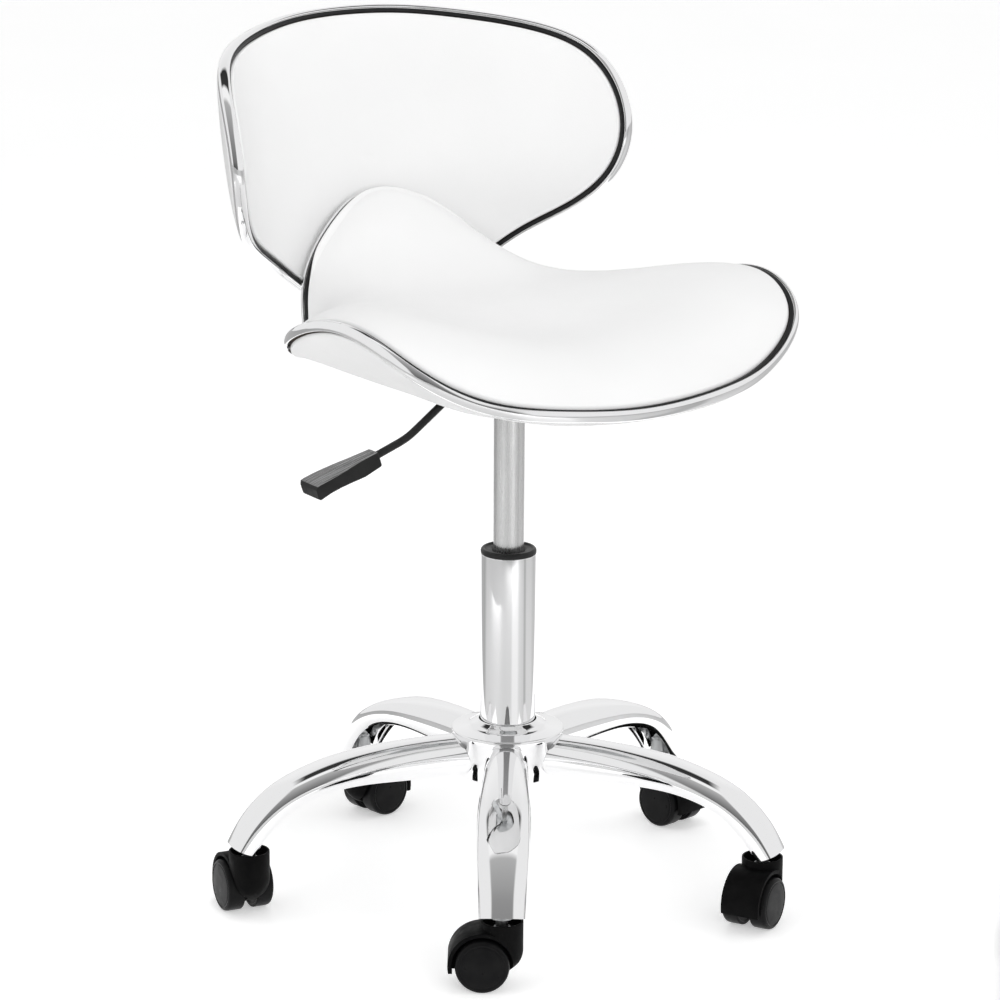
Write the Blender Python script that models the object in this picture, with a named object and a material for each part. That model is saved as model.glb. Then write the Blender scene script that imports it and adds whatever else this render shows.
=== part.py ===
"""Pedicure stool: five-legged chromed base on twin-wheel castors, gas lift, height lever,
saddle seat and wrap-round backrest.

Metres, +Z up, floor at z = 0. The sitter faces -Y, so the sitter's right is -X. Everything is
laid out round the column's axis, and the empty "stool" moves it so that the whole stool's
bounding box is centred on the world's Z axis.
"""

import math

import bmesh
import bpy
import numpy as np
from mathutils import Matrix, Vector

# Where the column's axis stands, so that the bounding box is centred on the origin
AXIS_X = -0.0008
AXIS_Y = -0.0372

GAP = 0.0003  # clearance between pieces that touch

# Base
LEGS = 5
FIRST_LEG_ANGLE = -34.0  # degrees from the front (-Y) towards +X
STEM_RADIUS = 0.243  # from the column's axis to each castor stem
HUB_BODY_RADIUS = 0.0445
HUB_RIM_RADIUS = 0.051
HUB_BOTTOM = 0.113
HUB_FLARE_FROM = 0.128
HUB_FLARE_TO = 0.1525
HUB_RIM_TOP = 0.156
HUB_TOP = 0.1645
LEG_WALL = 0.0022
LEG_ROOT_GAP = 0.0013  # between a leg's flat-sided root and the round hub

# Castors
WHEEL_RADIUS = 0.0237
WHEEL_WIDTH = 0.0163
WHEEL_STEPS = 20
WEB_HALF = 0.0055  # half the thickness of the web between the wheels
WHEEL_INNER = 0.0060
TRAIL = 0.017  # the axle lies this far behind the stem
AXLE_RADIUS = 0.003
HOOD_RADIUS = 0.030
HOOD_INNER = 0.0265
HOOD_HALF = 0.0183  # half the width of the hood, which leaves the discs clear
NECK_RADIUS = 0.0185
CUP_TOP = 0.060
CUP_FLOOR = 0.052
STEM_SHAFT_RADIUS = 0.0055
STEM_FOOT_RADIUS = 0.0038
SWIVEL_ANGLES = (-123.0, -61.5, 11.0, 101.0, 171.5)  # where each castor's wheels trail to

# Column
TUBE_RADIUS = 0.025
TUBE_FOOT_RADIUS = 0.0238
TUBE_WALL = 0.0015
TUBE_BOTTOM = 0.108
TUBE_TOP = 0.320
CYLINDER_RADIUS = 0.014
CYLINDER_BOTTOM = 0.236
CYLINDER_TOP = 0.482
PIN_RADIUS = 0.003
PIN_TOP = 0.486
LEVER_HEIGHT = 0.4898  # height of the lever rod over the valve pin
LEVER_PIVOT_X = -0.025
LEVER_RADIUS = 0.0035
PIVOT_PIN_RADIUS = 0.0018
PLATE_TOP = 0.5008
PLATE_THICK = 0.0025
PLATE_HALF = 0.070

# Seat: half of its edge, from the front centre round the sitter's left to the rear centre
SEAT_EDGE = (
    (0.000, -0.218, 0.500),
    (0.081, -0.213, 0.506),
    (0.149, -0.188, 0.518),
    (0.196, -0.157, 0.546),
    (0.214, -0.107, 0.568),
    (0.219, -0.043, 0.567),
    (0.213, 0.018, 0.546),
    (0.174, 0.084, 0.516),
    (0.128, 0.140, 0.508),
    (0.102, 0.184, 0.546),
    (0.057, 0.208, 0.595),
    (0.000, 0.226, 0.614),
)
# The seat's centre line between its two ends, as (y, z)
SEAT_SPINE = ((-0.15, 0.512), (-0.08, 0.513), (0.0, 0.519), (0.07, 0.5265), (0.14, 0.560))
SEAT_CROWN = 0.033
SEAT_BELLY = 0.0455
COVER_WALL = 0.003
COVER_RIM = 0.0020  # thickness of the white covers at their edges

# Backrest: half of its outline laid flat, from the top centre round to the bottom centre, as
# (distance along the bend, distance along the height)
BACK_OUTLINE = (
    (0.000, 0.778),
    (0.060, 0.774),
    (0.121, 0.761),
    (0.178, 0.743),
    (0.226, 0.717),
    (0.254, 0.680),
    (0.259, 0.635),
    (0.236, 0.596),
    (0.190, 0.570),
    (0.147, 0.555),
    (0.107, 0.535),
    (0.065, 0.516),
    (0.000, 0.509),
)
BACK_BEND = 4.53  # curvature across, 1/m
BACK_CENTRE_Y = 0.252
BACK_CENTRE_V = 0.640
BACK_TILT = math.radians(14.5)
BACK_CROWN = 0.009

SHELL_THICK = 0.0065
SHELL_TOP = -0.0016  # below the sheet that the outlines lie in
SHELL_RABBET = -0.0040  # the shell's edge is cut down to here for the piping
PIPING_RADIUS = 0.0021
PIPING_UP = -0.0002
TRIM_DEPTH = 0.0038
TRIM_HEIGHT = 0.0100
TRIM_UP = -0.0034  # the middle of the trim's height
SHELL_INSET = 0.0004  # of the ply shells and covers inside the piping's centre line
CUSHION_INSET = 0.0050

GRID_TURNS = 36  # points round a pad and along its edge
GRID_RINGS = 4
SPLINE_POWER = 0.7  # spacing of an outline's spline, between even (0) and by distance (1)


def clear_scene():
    for obj in list(bpy.data.objects):
        bpy.data.objects.remove(obj, do_unlink=True)


def material(name, colour, roughness, metallic=0.0):
    made = bpy.data.materials.new(name)
    made.use_nodes = True
    shader = made.node_tree.nodes["Principled BSDF"]
    shader.inputs["Base Color"].default_value = (*colour, 1.0)
    shader.inputs["Roughness"].default_value = roughness
    shader.inputs["Metallic"].default_value = metallic
    return made


def empty(name, parent=None, location=(0, 0, 0), turn=0.0):
    made = bpy.data.objects.new(name, None)
    bpy.context.scene.collection.objects.link(made)
    made.parent = parent
    made.location = location
    made.rotation_euler = (0, 0, turn)
    return made


def mesh_object(name, mesh, finish, parent, location=(0, 0, 0), sharp=35.0):
    mesh.materials.clear()
    mesh.materials.append(finish)
    mesh.shade_smooth()
    mesh.set_sharp_from_angle(angle=math.radians(sharp))
    made = bpy.data.objects.new(name, mesh)
    bpy.context.scene.collection.objects.link(made)
    made.parent = parent
    made.location = location
    return made


def mesh_from(name, points, faces):
    mesh = bpy.data.meshes.new(name)
    mesh.from_pydata([tuple(map(float, p)) for p in points], [], faces)
    work = bmesh.new()
    work.from_mesh(mesh)
    bmesh.ops.recalc_face_normals(work, faces=work.faces)
    work.to_mesh(mesh)
    work.free()
    return mesh


def turned(name, profile, steps=32):
    """A body turned round Z from (radius, height) points; a point at radius 0 closes an end."""
    points = []
    rings = []
    for radius, height in profile:
        if radius == 0:
            rings.append([len(points)] * steps)
            points.append((0, 0, height))
            continue
        rings.append(range(len(points), len(points) + steps))
        for i in range(steps):
            angle = math.tau * i / steps
            points.append((radius * math.cos(angle), radius * math.sin(angle), height))
    if profile[0][0] != 0:
        rings.append(rings[0])
    faces = []
    for low, high in zip(rings[:-1], rings[1:]):
        for i in range(steps):
            j = (i + 1) % steps
            corner = list(dict.fromkeys((low[i], low[j], high[j], high[i])))
            if len(corner) > 2:
                faces.append(corner)
    return mesh_from(name, points, faces)


def box_mesh(name, low, high):
    points = [(x, y, z) for x in (low[0], high[0]) for y in (low[1], high[1])
              for z in (low[2], high[2])]
    faces = [(0, 1, 3, 2), (4, 6, 7, 5), (0, 4, 5, 1), (2, 3, 7, 6), (0, 2, 6, 4), (1, 5, 7, 3)]
    return mesh_from(name, points, faces)


def rod_mesh(name, radius, start, end, steps=16):
    """A straight round rod between two points."""
    start, end = Vector(start), Vector(end)
    length = (end - start).length
    mesh = turned(name, ((0, 0), (radius, 0), (radius, length), (0, length)), steps)
    turn = (end - start).to_track_quat("Z", "Y").to_matrix().to_4x4()
    mesh.transform(Matrix.Translation(start) @ turn)
    return mesh


def combined(name, first, *steps):
    """The mesh left after Booleans: each step is (operation, mesh)."""
    scene = bpy.context.scene.collection
    base = bpy.data.objects.new(name, first)
    scene.objects.link(base)
    helpers = []
    for operation, mesh in steps:
        helper = bpy.data.objects.new(name + "_cutter", mesh)
        scene.objects.link(helper)
        helper.hide_render = True
        helper.display_type = "WIRE"
        helpers.append(helper)
        modifier = base.modifiers.new(operation, "BOOLEAN")
        modifier.operation = operation
        modifier.object = helper
    bpy.context.view_layer.update()
    graph = bpy.context.evaluated_depsgraph_get()
    result = bpy.data.meshes.new_from_object(base.evaluated_get(graph))
    for obj in (base, *helpers):
        bpy.data.objects.remove(obj, do_unlink=True)
    return result


# Curves and surfaces


def spline(points, closed, count):
    """count points of a cubic spline through points; an open one has natural ends."""
    points = np.array(points, float)
    if closed:
        points = np.vstack([points, points[:1]])
    steps = np.linalg.norm(np.diff(points, axis=0), axis=1) ** SPLINE_POWER
    knots = np.concatenate([[0], np.cumsum(steps)])
    n = len(points)
    matrix = np.zeros((n, n))
    right = np.zeros((n, points.shape[1]))
    slopes = np.diff(points, axis=0) / steps[:, None]
    for i in range(1, n - 1):
        matrix[i, i - 1] = steps[i - 1]
        matrix[i, i] = 2 * (steps[i - 1] + steps[i])
        matrix[i, i + 1] = steps[i]
        right[i] = 6 * (slopes[i] - slopes[i - 1])
    if closed:
        matrix[0, 0], matrix[0, -1] = 1, -1
        matrix[-1, 0] = 2 * (steps[0] + steps[-1])
        matrix[-1, 1] = steps[0]
        matrix[-1, -2] = steps[-1]
        right[-1] = 6 * (slopes[0] - slopes[-1])
    else:
        matrix[0, 0] = matrix[-1, -1] = 1
    bends = np.linalg.solve(matrix, right)
    at = np.linspace(0, knots[-1], count, endpoint=not closed)
    i = np.clip(np.searchsorted(knots, at, side="right") - 1, 0, n - 2)
    h = steps[i][:, None]
    a = (knots[i + 1] - at)[:, None] / h
    b = 1 - a
    curve = a * points[i] + b * points[i + 1]
    return curve + ((a**3 - a) * bends[i] + (b**3 - b) * bends[i + 1]) * h * h / 6


def mirrored(half):
    """A closed outline from its right half, which starts and ends on the centre line."""
    other = [(-p[0], *p[1:]) for p in half[-2:0:-1]]
    return list(half) + other


class SeatSurface:
    """The seat's sheet as height over its plan, through the edge and the centre line."""

    centre = (0.0, 0.0)
    rise = (0.0, 0.0, 1.0)  # the direction in which its crown and belly are measured

    def __init__(self):
        fine = spline(mirrored(SEAT_EDGE), True, 800)
        right = fine[fine[:, 0] >= 0]
        right = right[np.argsort(right[:, 1])]
        self.edge_y, self.edge_x, self.edge_z = right[:, 1], right[:, 0], right[:, 2]
        ends = (SEAT_EDGE[0][1:], *SEAT_SPINE, SEAT_EDGE[-1][1:])
        self.spine = spline(ends, False, 200)
        self.outline = fine[:, :2]

    def point(self, plan):
        x, y = plan[..., 0], plan[..., 1]
        spine = np.interp(y, self.spine[:, 0], self.spine[:, 1])
        half = np.maximum(np.interp(y, self.edge_y, self.edge_x), 0.012)
        edge = np.interp(y, self.edge_y, self.edge_z)
        height = spine + (edge - spine) * (np.abs(x) / half) ** 2
        return np.stack([x, y, height], axis=-1)


class BackSurface:
    """The backrest's sheet: flat across its height, bent round a vertical axis, then tilted."""

    centre = (0.0, BACK_CENTRE_V)
    rise = None  # its crown is measured square to the sheet

    def __init__(self):
        self.outline = spline(mirrored(BACK_OUTLINE), True, 800)

    def point(self, plan):
        along, up = plan[..., 0], plan[..., 1] - BACK_CENTRE_V
        x = np.sin(BACK_BEND * along) / BACK_BEND
        forward = (1 - np.cos(BACK_BEND * along)) / BACK_BEND
        y = BACK_CENTRE_Y + math.sin(BACK_TILT) * up - math.cos(BACK_TILT) * forward
        z = BACK_CENTRE_V + math.cos(BACK_TILT) * up + math.sin(BACK_TILT) * forward
        return np.stack([x, y, z], axis=-1)


def normals(surface, plan):
    """Unit normals of the sheet, on the side that faces the sitter."""
    step = 0.001
    right = surface.point(plan + (step, 0)) - surface.point(plan - (step, 0))
    ahead = surface.point(plan + (0, step)) - surface.point(plan - (0, step))
    normal = np.cross(right, ahead)
    return normal / np.linalg.norm(normal, axis=-1, keepdims=True)


def edge_frames(surface):
    """Points of the sheet's edge, with the outward and the upward direction at each."""
    pick = np.arange(GRID_TURNS) * len(surface.outline) // GRID_TURNS
    plan = surface.outline[pick]
    points = surface.point(plan)
    tangent = np.roll(points, -1, 0) - np.roll(points, 1, 0)
    tangent /= np.linalg.norm(tangent, axis=1, keepdims=True)
    inner = np.array(surface.centre) + (plan - surface.centre) * 0.96
    up = normals(surface, inner)
    outward = np.cross(tangent, up)
    outward /= np.linalg.norm(outward, axis=1, keepdims=True)
    middle = surface.point(np.array([surface.centre]))[0]
    if np.sum(outward * (points - middle)) < 0:
        outward = -outward
    upward = np.cross(outward, tangent)
    upward *= np.sign(np.sum(upward * up, axis=1))[:, None]
    return plan, points, outward, upward


def band(first, second):
    """Triangles between two rings of points, whose first points have these numbers."""
    found = []
    for i in range(GRID_TURNS):
        j = (i + 1) % GRID_TURNS
        found += [(first + i, first + j, second + j), (first + i, second + j, second + i)]
    return found


def edge_ring(name, surface, section):
    """A closed cord or band along the sheet's edge; section holds (outward, upward) points."""
    _, points, outward, upward = edge_frames(surface)
    vertices = np.concatenate([points + outward * o + upward * u for o, u in section])
    faces = []
    for k in range(len(section)):
        faces += band(k * GRID_TURNS, (k + 1) % len(section) * GRID_TURNS)
    return mesh_from(name, vertices, faces)


def pad(name, surface, inset, low, high, open_middle=False):
    """A closed pad on the sheet, between low(r) and high(r), where r runs from the middle (0) to
    the edge (1). Each gives a height square to the sheet and one along the surface's rise.
    inset is how far its side stands inside the sheet's edge. All pads share one grid, so that
    pads lying on one another stay apart."""
    plan, points, outward, _ = edge_frames(surface)
    middle = np.array(surface.centre)
    size = np.linalg.norm(plan - middle, axis=1)
    # The grid's spokes seldom cross the edge squarely, so an inset is divided by how squarely
    # they do.
    spoke = points - surface.point(middle + (plan - middle) * 0.98)
    spoke /= np.linalg.norm(spoke, axis=1, keepdims=True)
    square = np.clip(np.sum(spoke * outward, axis=1), 0.35, 1)

    def rim(distance):
        return middle + (plan - middle) * (1 - distance / square / size)[:, None]

    shares = [math.sin(math.pi / 2 * i / GRID_RINGS) for i in range(1, GRID_RINGS + 1)]
    rows = [(r, middle + (rim(CUSHION_INSET) - middle) * r) for r in shares]
    if inset < CUSHION_INSET:
        rows = [(r * 0.975, at) for r, at in rows] + [(1, rim(inset))]
    upper, lower = [], []
    for r, at in rows:
        base = surface.point(at)
        up = normals(surface, middle + (at - middle) * 0.96)
        rise = up if surface.rise is None else np.array(surface.rise)
        upper.append(base + up * high(r)[0] + rise * high(r)[1])
        lower.append(base + up * low(r)[0] + rise * low(r)[1])
    vertices = list(np.concatenate(upper + lower))
    count = len(rows)
    faces = band((count - 1) * GRID_TURNS, (2 * count - 1) * GRID_TURNS)
    for side in (0, count):
        for k in range(count - 1):
            faces += band((side + k) * GRID_TURNS, (side + k + 1) * GRID_TURNS)
    if open_middle:
        faces += band(0, count * GRID_TURNS)
        return mesh_from(name, vertices, faces)
    at = np.array([surface.centre])
    base = surface.point(at)[0]
    up = normals(surface, at)[0]
    rise = up if surface.rise is None else np.array(surface.rise)
    for side, height in ((0, high(0)), (count, low(0))):
        vertices.append(base + up * height[0] + rise * height[1])
        start = side * GRID_TURNS
        tip = len(vertices) - 1
        faces += [(start + i, start + (i + 1) % GRID_TURNS, tip) for i in range(GRID_TURNS)]
    return mesh_from(name, vertices, faces)


def ellipse(centre_out, centre_up, half_out, half_up, count):
    return [
        (centre_out + half_out * math.cos(math.tau * i / count),
         centre_up + half_up * math.sin(math.tau * i / count))
        for i in range(count)
    ]


# Base


def hub_radius(height):
    """Outside radius of the hub at this height, under its rim."""
    rise = (height - HUB_FLARE_FROM) / (HUB_FLARE_TO - HUB_FLARE_FROM)
    return HUB_BODY_RADIUS + (HUB_RIM_RADIUS - HUB_BODY_RADIUS) * min(1.0, max(0.0, rise))


def tube_radius(height):
    """Outside radius of the stand tube, which tapers inside the hub."""
    rise = (height - TUBE_BOTTOM) / (HUB_TOP - TUBE_BOTTOM)
    return TUBE_FOOT_RADIUS + (TUBE_RADIUS - TUBE_FOOT_RADIUS) * min(1.0, max(0.0, rise))


def make_hub(stool, chrome):
    bore_low = tube_radius(HUB_BOTTOM) + GAP
    bore_high = TUBE_RADIUS + GAP
    profile = (
        (bore_low, HUB_BOTTOM),
        (HUB_BODY_RADIUS, HUB_BOTTOM),
        (HUB_BODY_RADIUS, HUB_FLARE_FROM),
        (HUB_RIM_RADIUS, HUB_FLARE_TO),
        (HUB_RIM_RADIUS, HUB_RIM_TOP - 0.001),
        (HUB_RIM_RADIUS - 0.001, HUB_RIM_TOP),
        (0.036, HUB_RIM_TOP + 0.0022),
        (0.030, HUB_TOP - 0.0015),
        (bore_high + 0.001, HUB_TOP),
        (bore_high, HUB_TOP - 0.001),
    )
    mesh_object("hub", turned("hub", profile, 32), chrome, stool)


# A leg's centre line as (radius, height), and its width, depth and slot angle along it
LEG_STATIONS = (
    ((0.0500, 0.1335), 0.0390, 0.0365, 4),
    ((0.0850, 0.1325), 0.0410, 0.0365, 4),
    ((0.1220, 0.1310), 0.0445, 0.0330, 8),
    ((0.1580, 0.1270), 0.0470, 0.0285, 25),
    ((0.1900, 0.1180), 0.0470, 0.0255, 42),
    ((0.2140, 0.1055), 0.0460, 0.0255, 50),
    ((0.2330, 0.0880), 0.0440, 0.0265, 52),
    ((0.2440, 0.0740), 0.0420, 0.0265, 52),
    ((0.2495, 0.0665), 0.0410, 0.0260, 52),
)
LEG_TIP_LOWEST = 0.0610
LEG_TIP_REACH = 0.020  # over the last of the leg, its outer side droops towards the castor
LEG_TIP_DROOP = (0.0019, -0.0059)
LEG_SECTION_POINTS = 8
LEG_SQUARENESS = 2.4


def leg_section(width, depth, slot):
    """(across, up) points of a slotted oval tube: along the outside, then back along the
    inside. slot is half the open angle at the underside, in degrees."""
    found = []
    start, end = -90 + slot, 270 - slot
    angles = np.radians(np.linspace(start, end, LEG_SECTION_POINTS))
    for wall, run in ((0, angles), (LEG_WALL, angles[::-1])):
        for angle in run:
            cosine, sine = math.cos(angle), math.sin(angle)
            power = 2 / LEG_SQUARENESS
            across = math.copysign(abs(cosine) ** power, cosine) * (width / 2 - wall)
            up = math.copysign(abs(sine) ** power, sine) * (depth / 2 - wall)
            found.append((across, up))
    return found


def leg_mesh():
    """A leg that runs out along +X."""
    line = np.array([s[0] for s in LEG_STATIONS])
    path = spline(line, False, 200)
    vertices = []
    tip = np.array(LEG_STATIONS[-1][0])
    for place, width, depth, slot in LEG_STATIONS:
        nearest = int(np.argmin(np.linalg.norm(path - place, axis=1)))
        low, high = max(nearest - 1, 0), min(nearest + 1, len(path) - 1)
        along = (path[high] - path[low]) / np.linalg.norm(path[high] - path[low])
        upward = np.array([-along[1], along[0]])
        droop = max(0, 1 - np.linalg.norm(tip - place) / LEG_TIP_REACH) ** 2
        for across, up in leg_section(width, depth, slot):
            radius, height = np.array(place) + upward * up
            radius += LEG_TIP_DROOP[0] * droop * (0.5 + up / depth)
            height += LEG_TIP_DROOP[1] * droop * (0.5 + up / depth)
            vertices.append([radius, across, max(height, LEG_TIP_LOWEST)])
    per = 2 * LEG_SECTION_POINTS
    for vertex in vertices[:per]:
        # The root follows the hub's round side.
        reach = hub_radius(vertex[2]) + LEG_ROOT_GAP
        vertex[0] = math.sqrt(reach**2 - vertex[1] ** 2)
    faces = []
    for k in range(len(LEG_STATIONS) - 1):
        for i in range(per):
            j = (i + 1) % per
            faces.append((k * per + i, k * per + j, (k + 1) * per + j, (k + 1) * per + i))
    last = (len(LEG_STATIONS) - 1) * per
    for start in (0, last):
        for i in range(LEG_SECTION_POINTS - 1):
            faces.append((start + i, start + i + 1, start + per - 2 - i, start + per - 1 - i))
    return mesh_from("leg", vertices, faces)


def socket_mesh():
    bore = STEM_SHAFT_RADIUS + GAP
    return turned("socket", ((bore, 0.0625), (0.0105, 0.0625), (0.0070, 0.0805), (bore, 0.0805)), 12)


def stem_mesh():
    """A castor stem: foot in the housing, collar on the cup's floor, domed head on the socket."""
    shaft = STEM_SHAFT_RADIUS
    profile = (
        (0, 0.0365),
        (STEM_FOOT_RADIUS, 0.0365),
        (STEM_FOOT_RADIUS, CUP_FLOOR + GAP),
        (0.0075, CUP_FLOOR + GAP),
        (0.0075, CUP_FLOOR + 0.0020),
        (shaft, CUP_FLOOR + 0.0020),
        (shaft, 0.0808),
        (0.0046, 0.0836),
        (0, 0.0845),
    )
    return turned("stem", profile, 12)


def housing_mesh():
    """A castor housing, with its stem on the local Z axis and its wheels towards +X. The hood
    starts at the stem, so that the wheels are open in front, beside the neck."""
    axle = Vector((TRAIL, 0, WHEEL_RADIUS))
    side = Vector((0, HOOD_HALF, 0))
    hood = rod_mesh("hood", HOOD_RADIUS, axle - side, axle + side, 20)
    neck = turned("neck", (
        (0, 0.0120), (0.0060, 0.0140), (0.0110, 0.0180), (0.0158, 0.0230), (NECK_RADIUS, 0.0300),
        (NECK_RADIUS, CUP_TOP), (0, CUP_TOP)), 18)
    wells = [
        rod_mesh("well", HOOD_INNER, axle + Vector((0, side * WEB_HALF, 0)),
                 axle + Vector((0, side * 0.04, 0)), 18)
        for side in (-1, 1)
    ]
    tail = box_mesh("tail", (TRAIL - 0.004, -0.04, -0.02), (TRAIL + 0.04, 0.04, 0.0172))
    front = box_mesh("front", (-0.04, -0.04, -0.02), (0, 0.04, 0.070))
    under = box_mesh("under", (-0.001, -0.04, -0.02), (TRAIL, 0.04, 0.0120))
    cup = turned("cup", ((0, CUP_FLOOR), (0.0165, CUP_FLOOR), (0.0165, 0.070), (0, 0.070)), 18)
    bore = rod_mesh("bore", STEM_FOOT_RADIUS + GAP, (0, 0, 0.0362), (0, 0, 0.070), 10)
    pin = rod_mesh("pin", AXLE_RADIUS + GAP, axle - Vector((0, 0.04, 0)), axle + Vector((0, 0.04, 0)), 10)
    steps = [("DIFFERENCE", front), ("DIFFERENCE", under), ("UNION", neck)]
    steps += [("DIFFERENCE", m) for m in (*wells, tail, cup, bore, pin)]
    return combined("housing", hood, *steps)


def wheel_mesh():
    """A wheel on the local Z axis, its inner face at z = 0 and its dished disc outwards."""
    wide = WHEEL_WIDTH
    tread = WHEEL_RADIUS / math.cos(math.pi / WHEEL_STEPS)
    mesh = turned("wheel", (
        (0, 0.0130),
        (AXLE_RADIUS + GAP, 0.0130),
        (AXLE_RADIUS + GAP, 0),
        (tread, 0),
        (tread, wide - 0.0035),
        (tread - 0.0030, wide - 0.0006),
        (0, wide)), WHEEL_STEPS)
    # It stands on one of its flats.
    mesh.transform(Matrix.Rotation(math.pi / WHEEL_STEPS, 4, "Z"))
    return mesh


def make_base(stool, chrome, steel, nylon, wheel_black):
    leg, socket, stem = leg_mesh(), socket_mesh(), stem_mesh()
    housing, wheel = housing_mesh(), wheel_mesh()
    reach = WHEEL_INNER + 0.0125
    axle = rod_mesh("axle", AXLE_RADIUS, (0, -reach, 0), (0, reach, 0), 10)
    for k in range(LEGS):
        number = str(k + 1)
        # Local +X of the arm points along the leg.
        turn = math.radians(FIRST_LEG_ANGLE + 360 / LEGS * k - 90)
        arm = empty("arm_" + number, stool, (0, 0, 0), turn)
        mesh_object("leg_" + number, leg.copy(), chrome, arm, sharp=50)
        mesh_object("leg_socket_" + number, socket.copy(), steel, arm, (STEM_RADIUS, 0, 0))
        mesh_object("caster_stem_" + number, stem.copy(), steel, arm, (STEM_RADIUS, 0, 0))
        place = (STEM_RADIUS * math.cos(turn), STEM_RADIUS * math.sin(turn), 0)
        swivel = empty("swivel_" + number, stool, place, math.radians(SWIVEL_ANGLES[k] - 90))
        mesh_object("caster_housing_" + number, housing.copy(), nylon, swivel)
        spindle = (TRAIL, 0, WHEEL_RADIUS)
        mesh_object("caster_axle_" + number, axle.copy(), steel, swivel, spindle)
        for side, name in ((1, "left"), (-1, "right")):
            hold = empty(f"spindle_{number}_{name}", swivel, (TRAIL, side * WHEEL_INNER, WHEEL_RADIUS))
            hold.rotation_euler = (-side * math.pi / 2, 0, 0)
            mesh_object(f"caster_wheel_{number}_{name}", wheel.copy(), wheel_black, hold)


# Column


def make_column(stool, chrome, brushed, steel, plastic):
    inner = TUBE_RADIUS - TUBE_WALL
    foot = TUBE_FOOT_RADIUS - TUBE_WALL
    mesh_object("outer_tube", turned("outer_tube", (
        (0.0054, TUBE_BOTTOM), (TUBE_FOOT_RADIUS, TUBE_BOTTOM), (TUBE_RADIUS, HUB_TOP),
        (TUBE_RADIUS, TUBE_TOP), (inner, TUBE_TOP), (inner, HUB_TOP), (foot, TUBE_BOTTOM + 0.003),
        (0.0054, TUBE_BOTTOM + 0.003)), 28), chrome, stool)
    bore = CYLINDER_RADIUS + 0.0004
    mesh_object("guide_bush", turned("guide_bush", (
        (bore, 0.272), (inner - GAP, 0.272), (inner - GAP, TUBE_TOP + GAP),
        (TUBE_RADIUS + 0.0002, TUBE_TOP + GAP), (TUBE_RADIUS + 0.0003, TUBE_TOP + 0.0032),
        (TUBE_RADIUS - 0.0014, TUBE_TOP + 0.0050), (0.0208, TUBE_TOP + 0.0050),
        (0.0196, TUBE_TOP + 0.0036), (bore, TUBE_TOP + 0.0036)), 24), plastic, stool)
    mesh_object("thrust_bearing", turned("thrust_bearing", (
        (0.0054, TUBE_BOTTOM + 0.0034), (0.0120, TUBE_BOTTOM + 0.0034),
        (0.0120, TUBE_BOTTOM + 0.0074), (0.0054, TUBE_BOTTOM + 0.0074)), 20), steel, stool)
    mesh_object("retaining_clip", turned("retaining_clip", (
        (0.0042, TUBE_BOTTOM - 0.0018), (0.0085, TUBE_BOTTOM - 0.0018),
        (0.0085, TUBE_BOTTOM - 0.0005), (0.0042, TUBE_BOTTOM - 0.0005)), 20), steel, stool)
    mesh_object("piston_rod", turned("piston_rod", (
        (0, 0.1045), (0.0050, 0.1045), (0.0050, 0.1058), (0.0038, 0.1058), (0.0038, 0.1080),
        (0.0050, 0.1080), (0.0050, 0.3350), (0.0120, 0.3350), (0.0120, 0.3480), (0, 0.3480)), 16),
        steel, stool)

    lift = empty("lift", stool)
    mesh_object("gas_cylinder", turned("gas_cylinder", (
        (0.0053, CYLINDER_BOTTOM), (CYLINDER_RADIUS - 0.001, CYLINDER_BOTTOM),
        (CYLINDER_RADIUS, CYLINDER_BOTTOM + 0.001), (CYLINDER_RADIUS, 0.455),
        (0.0133, CYLINDER_TOP - 0.001), (0.0125, CYLINDER_TOP), (PIN_RADIUS + GAP, CYLINDER_TOP),
        (PIN_RADIUS + GAP, 0.4700), (0.0123, 0.4700), (0.0123, CYLINDER_BOTTOM + 0.008),
        (0.0053, CYLINDER_BOTTOM + 0.008)), 20), brushed, lift)
    valve = empty("valve", lift)
    mesh_object("valve_pin", turned("valve_pin", (
        (0, 0.466), (PIN_RADIUS, 0.466), (PIN_RADIUS, PIN_TOP - 0.0008),
        (PIN_RADIUS - 0.0008, PIN_TOP), (0, PIN_TOP)), 16), steel, valve)
    return lift


# Seat mount and lever

LEVER_LINE = (
    (0.0045, LEVER_HEIGHT),
    (-0.0360, LEVER_HEIGHT),
    (-0.0430, 0.4872),
    (-0.1010, 0.4455),
    (-0.1070, 0.4418),
    (-0.1140, 0.4386),
    (-0.1520, 0.4248),
)
GRIP_START = (-0.1400, 0.4292)
GRIP_END = (-0.2075, 0.40775)
PLATE_HOLES = 0.058


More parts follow.
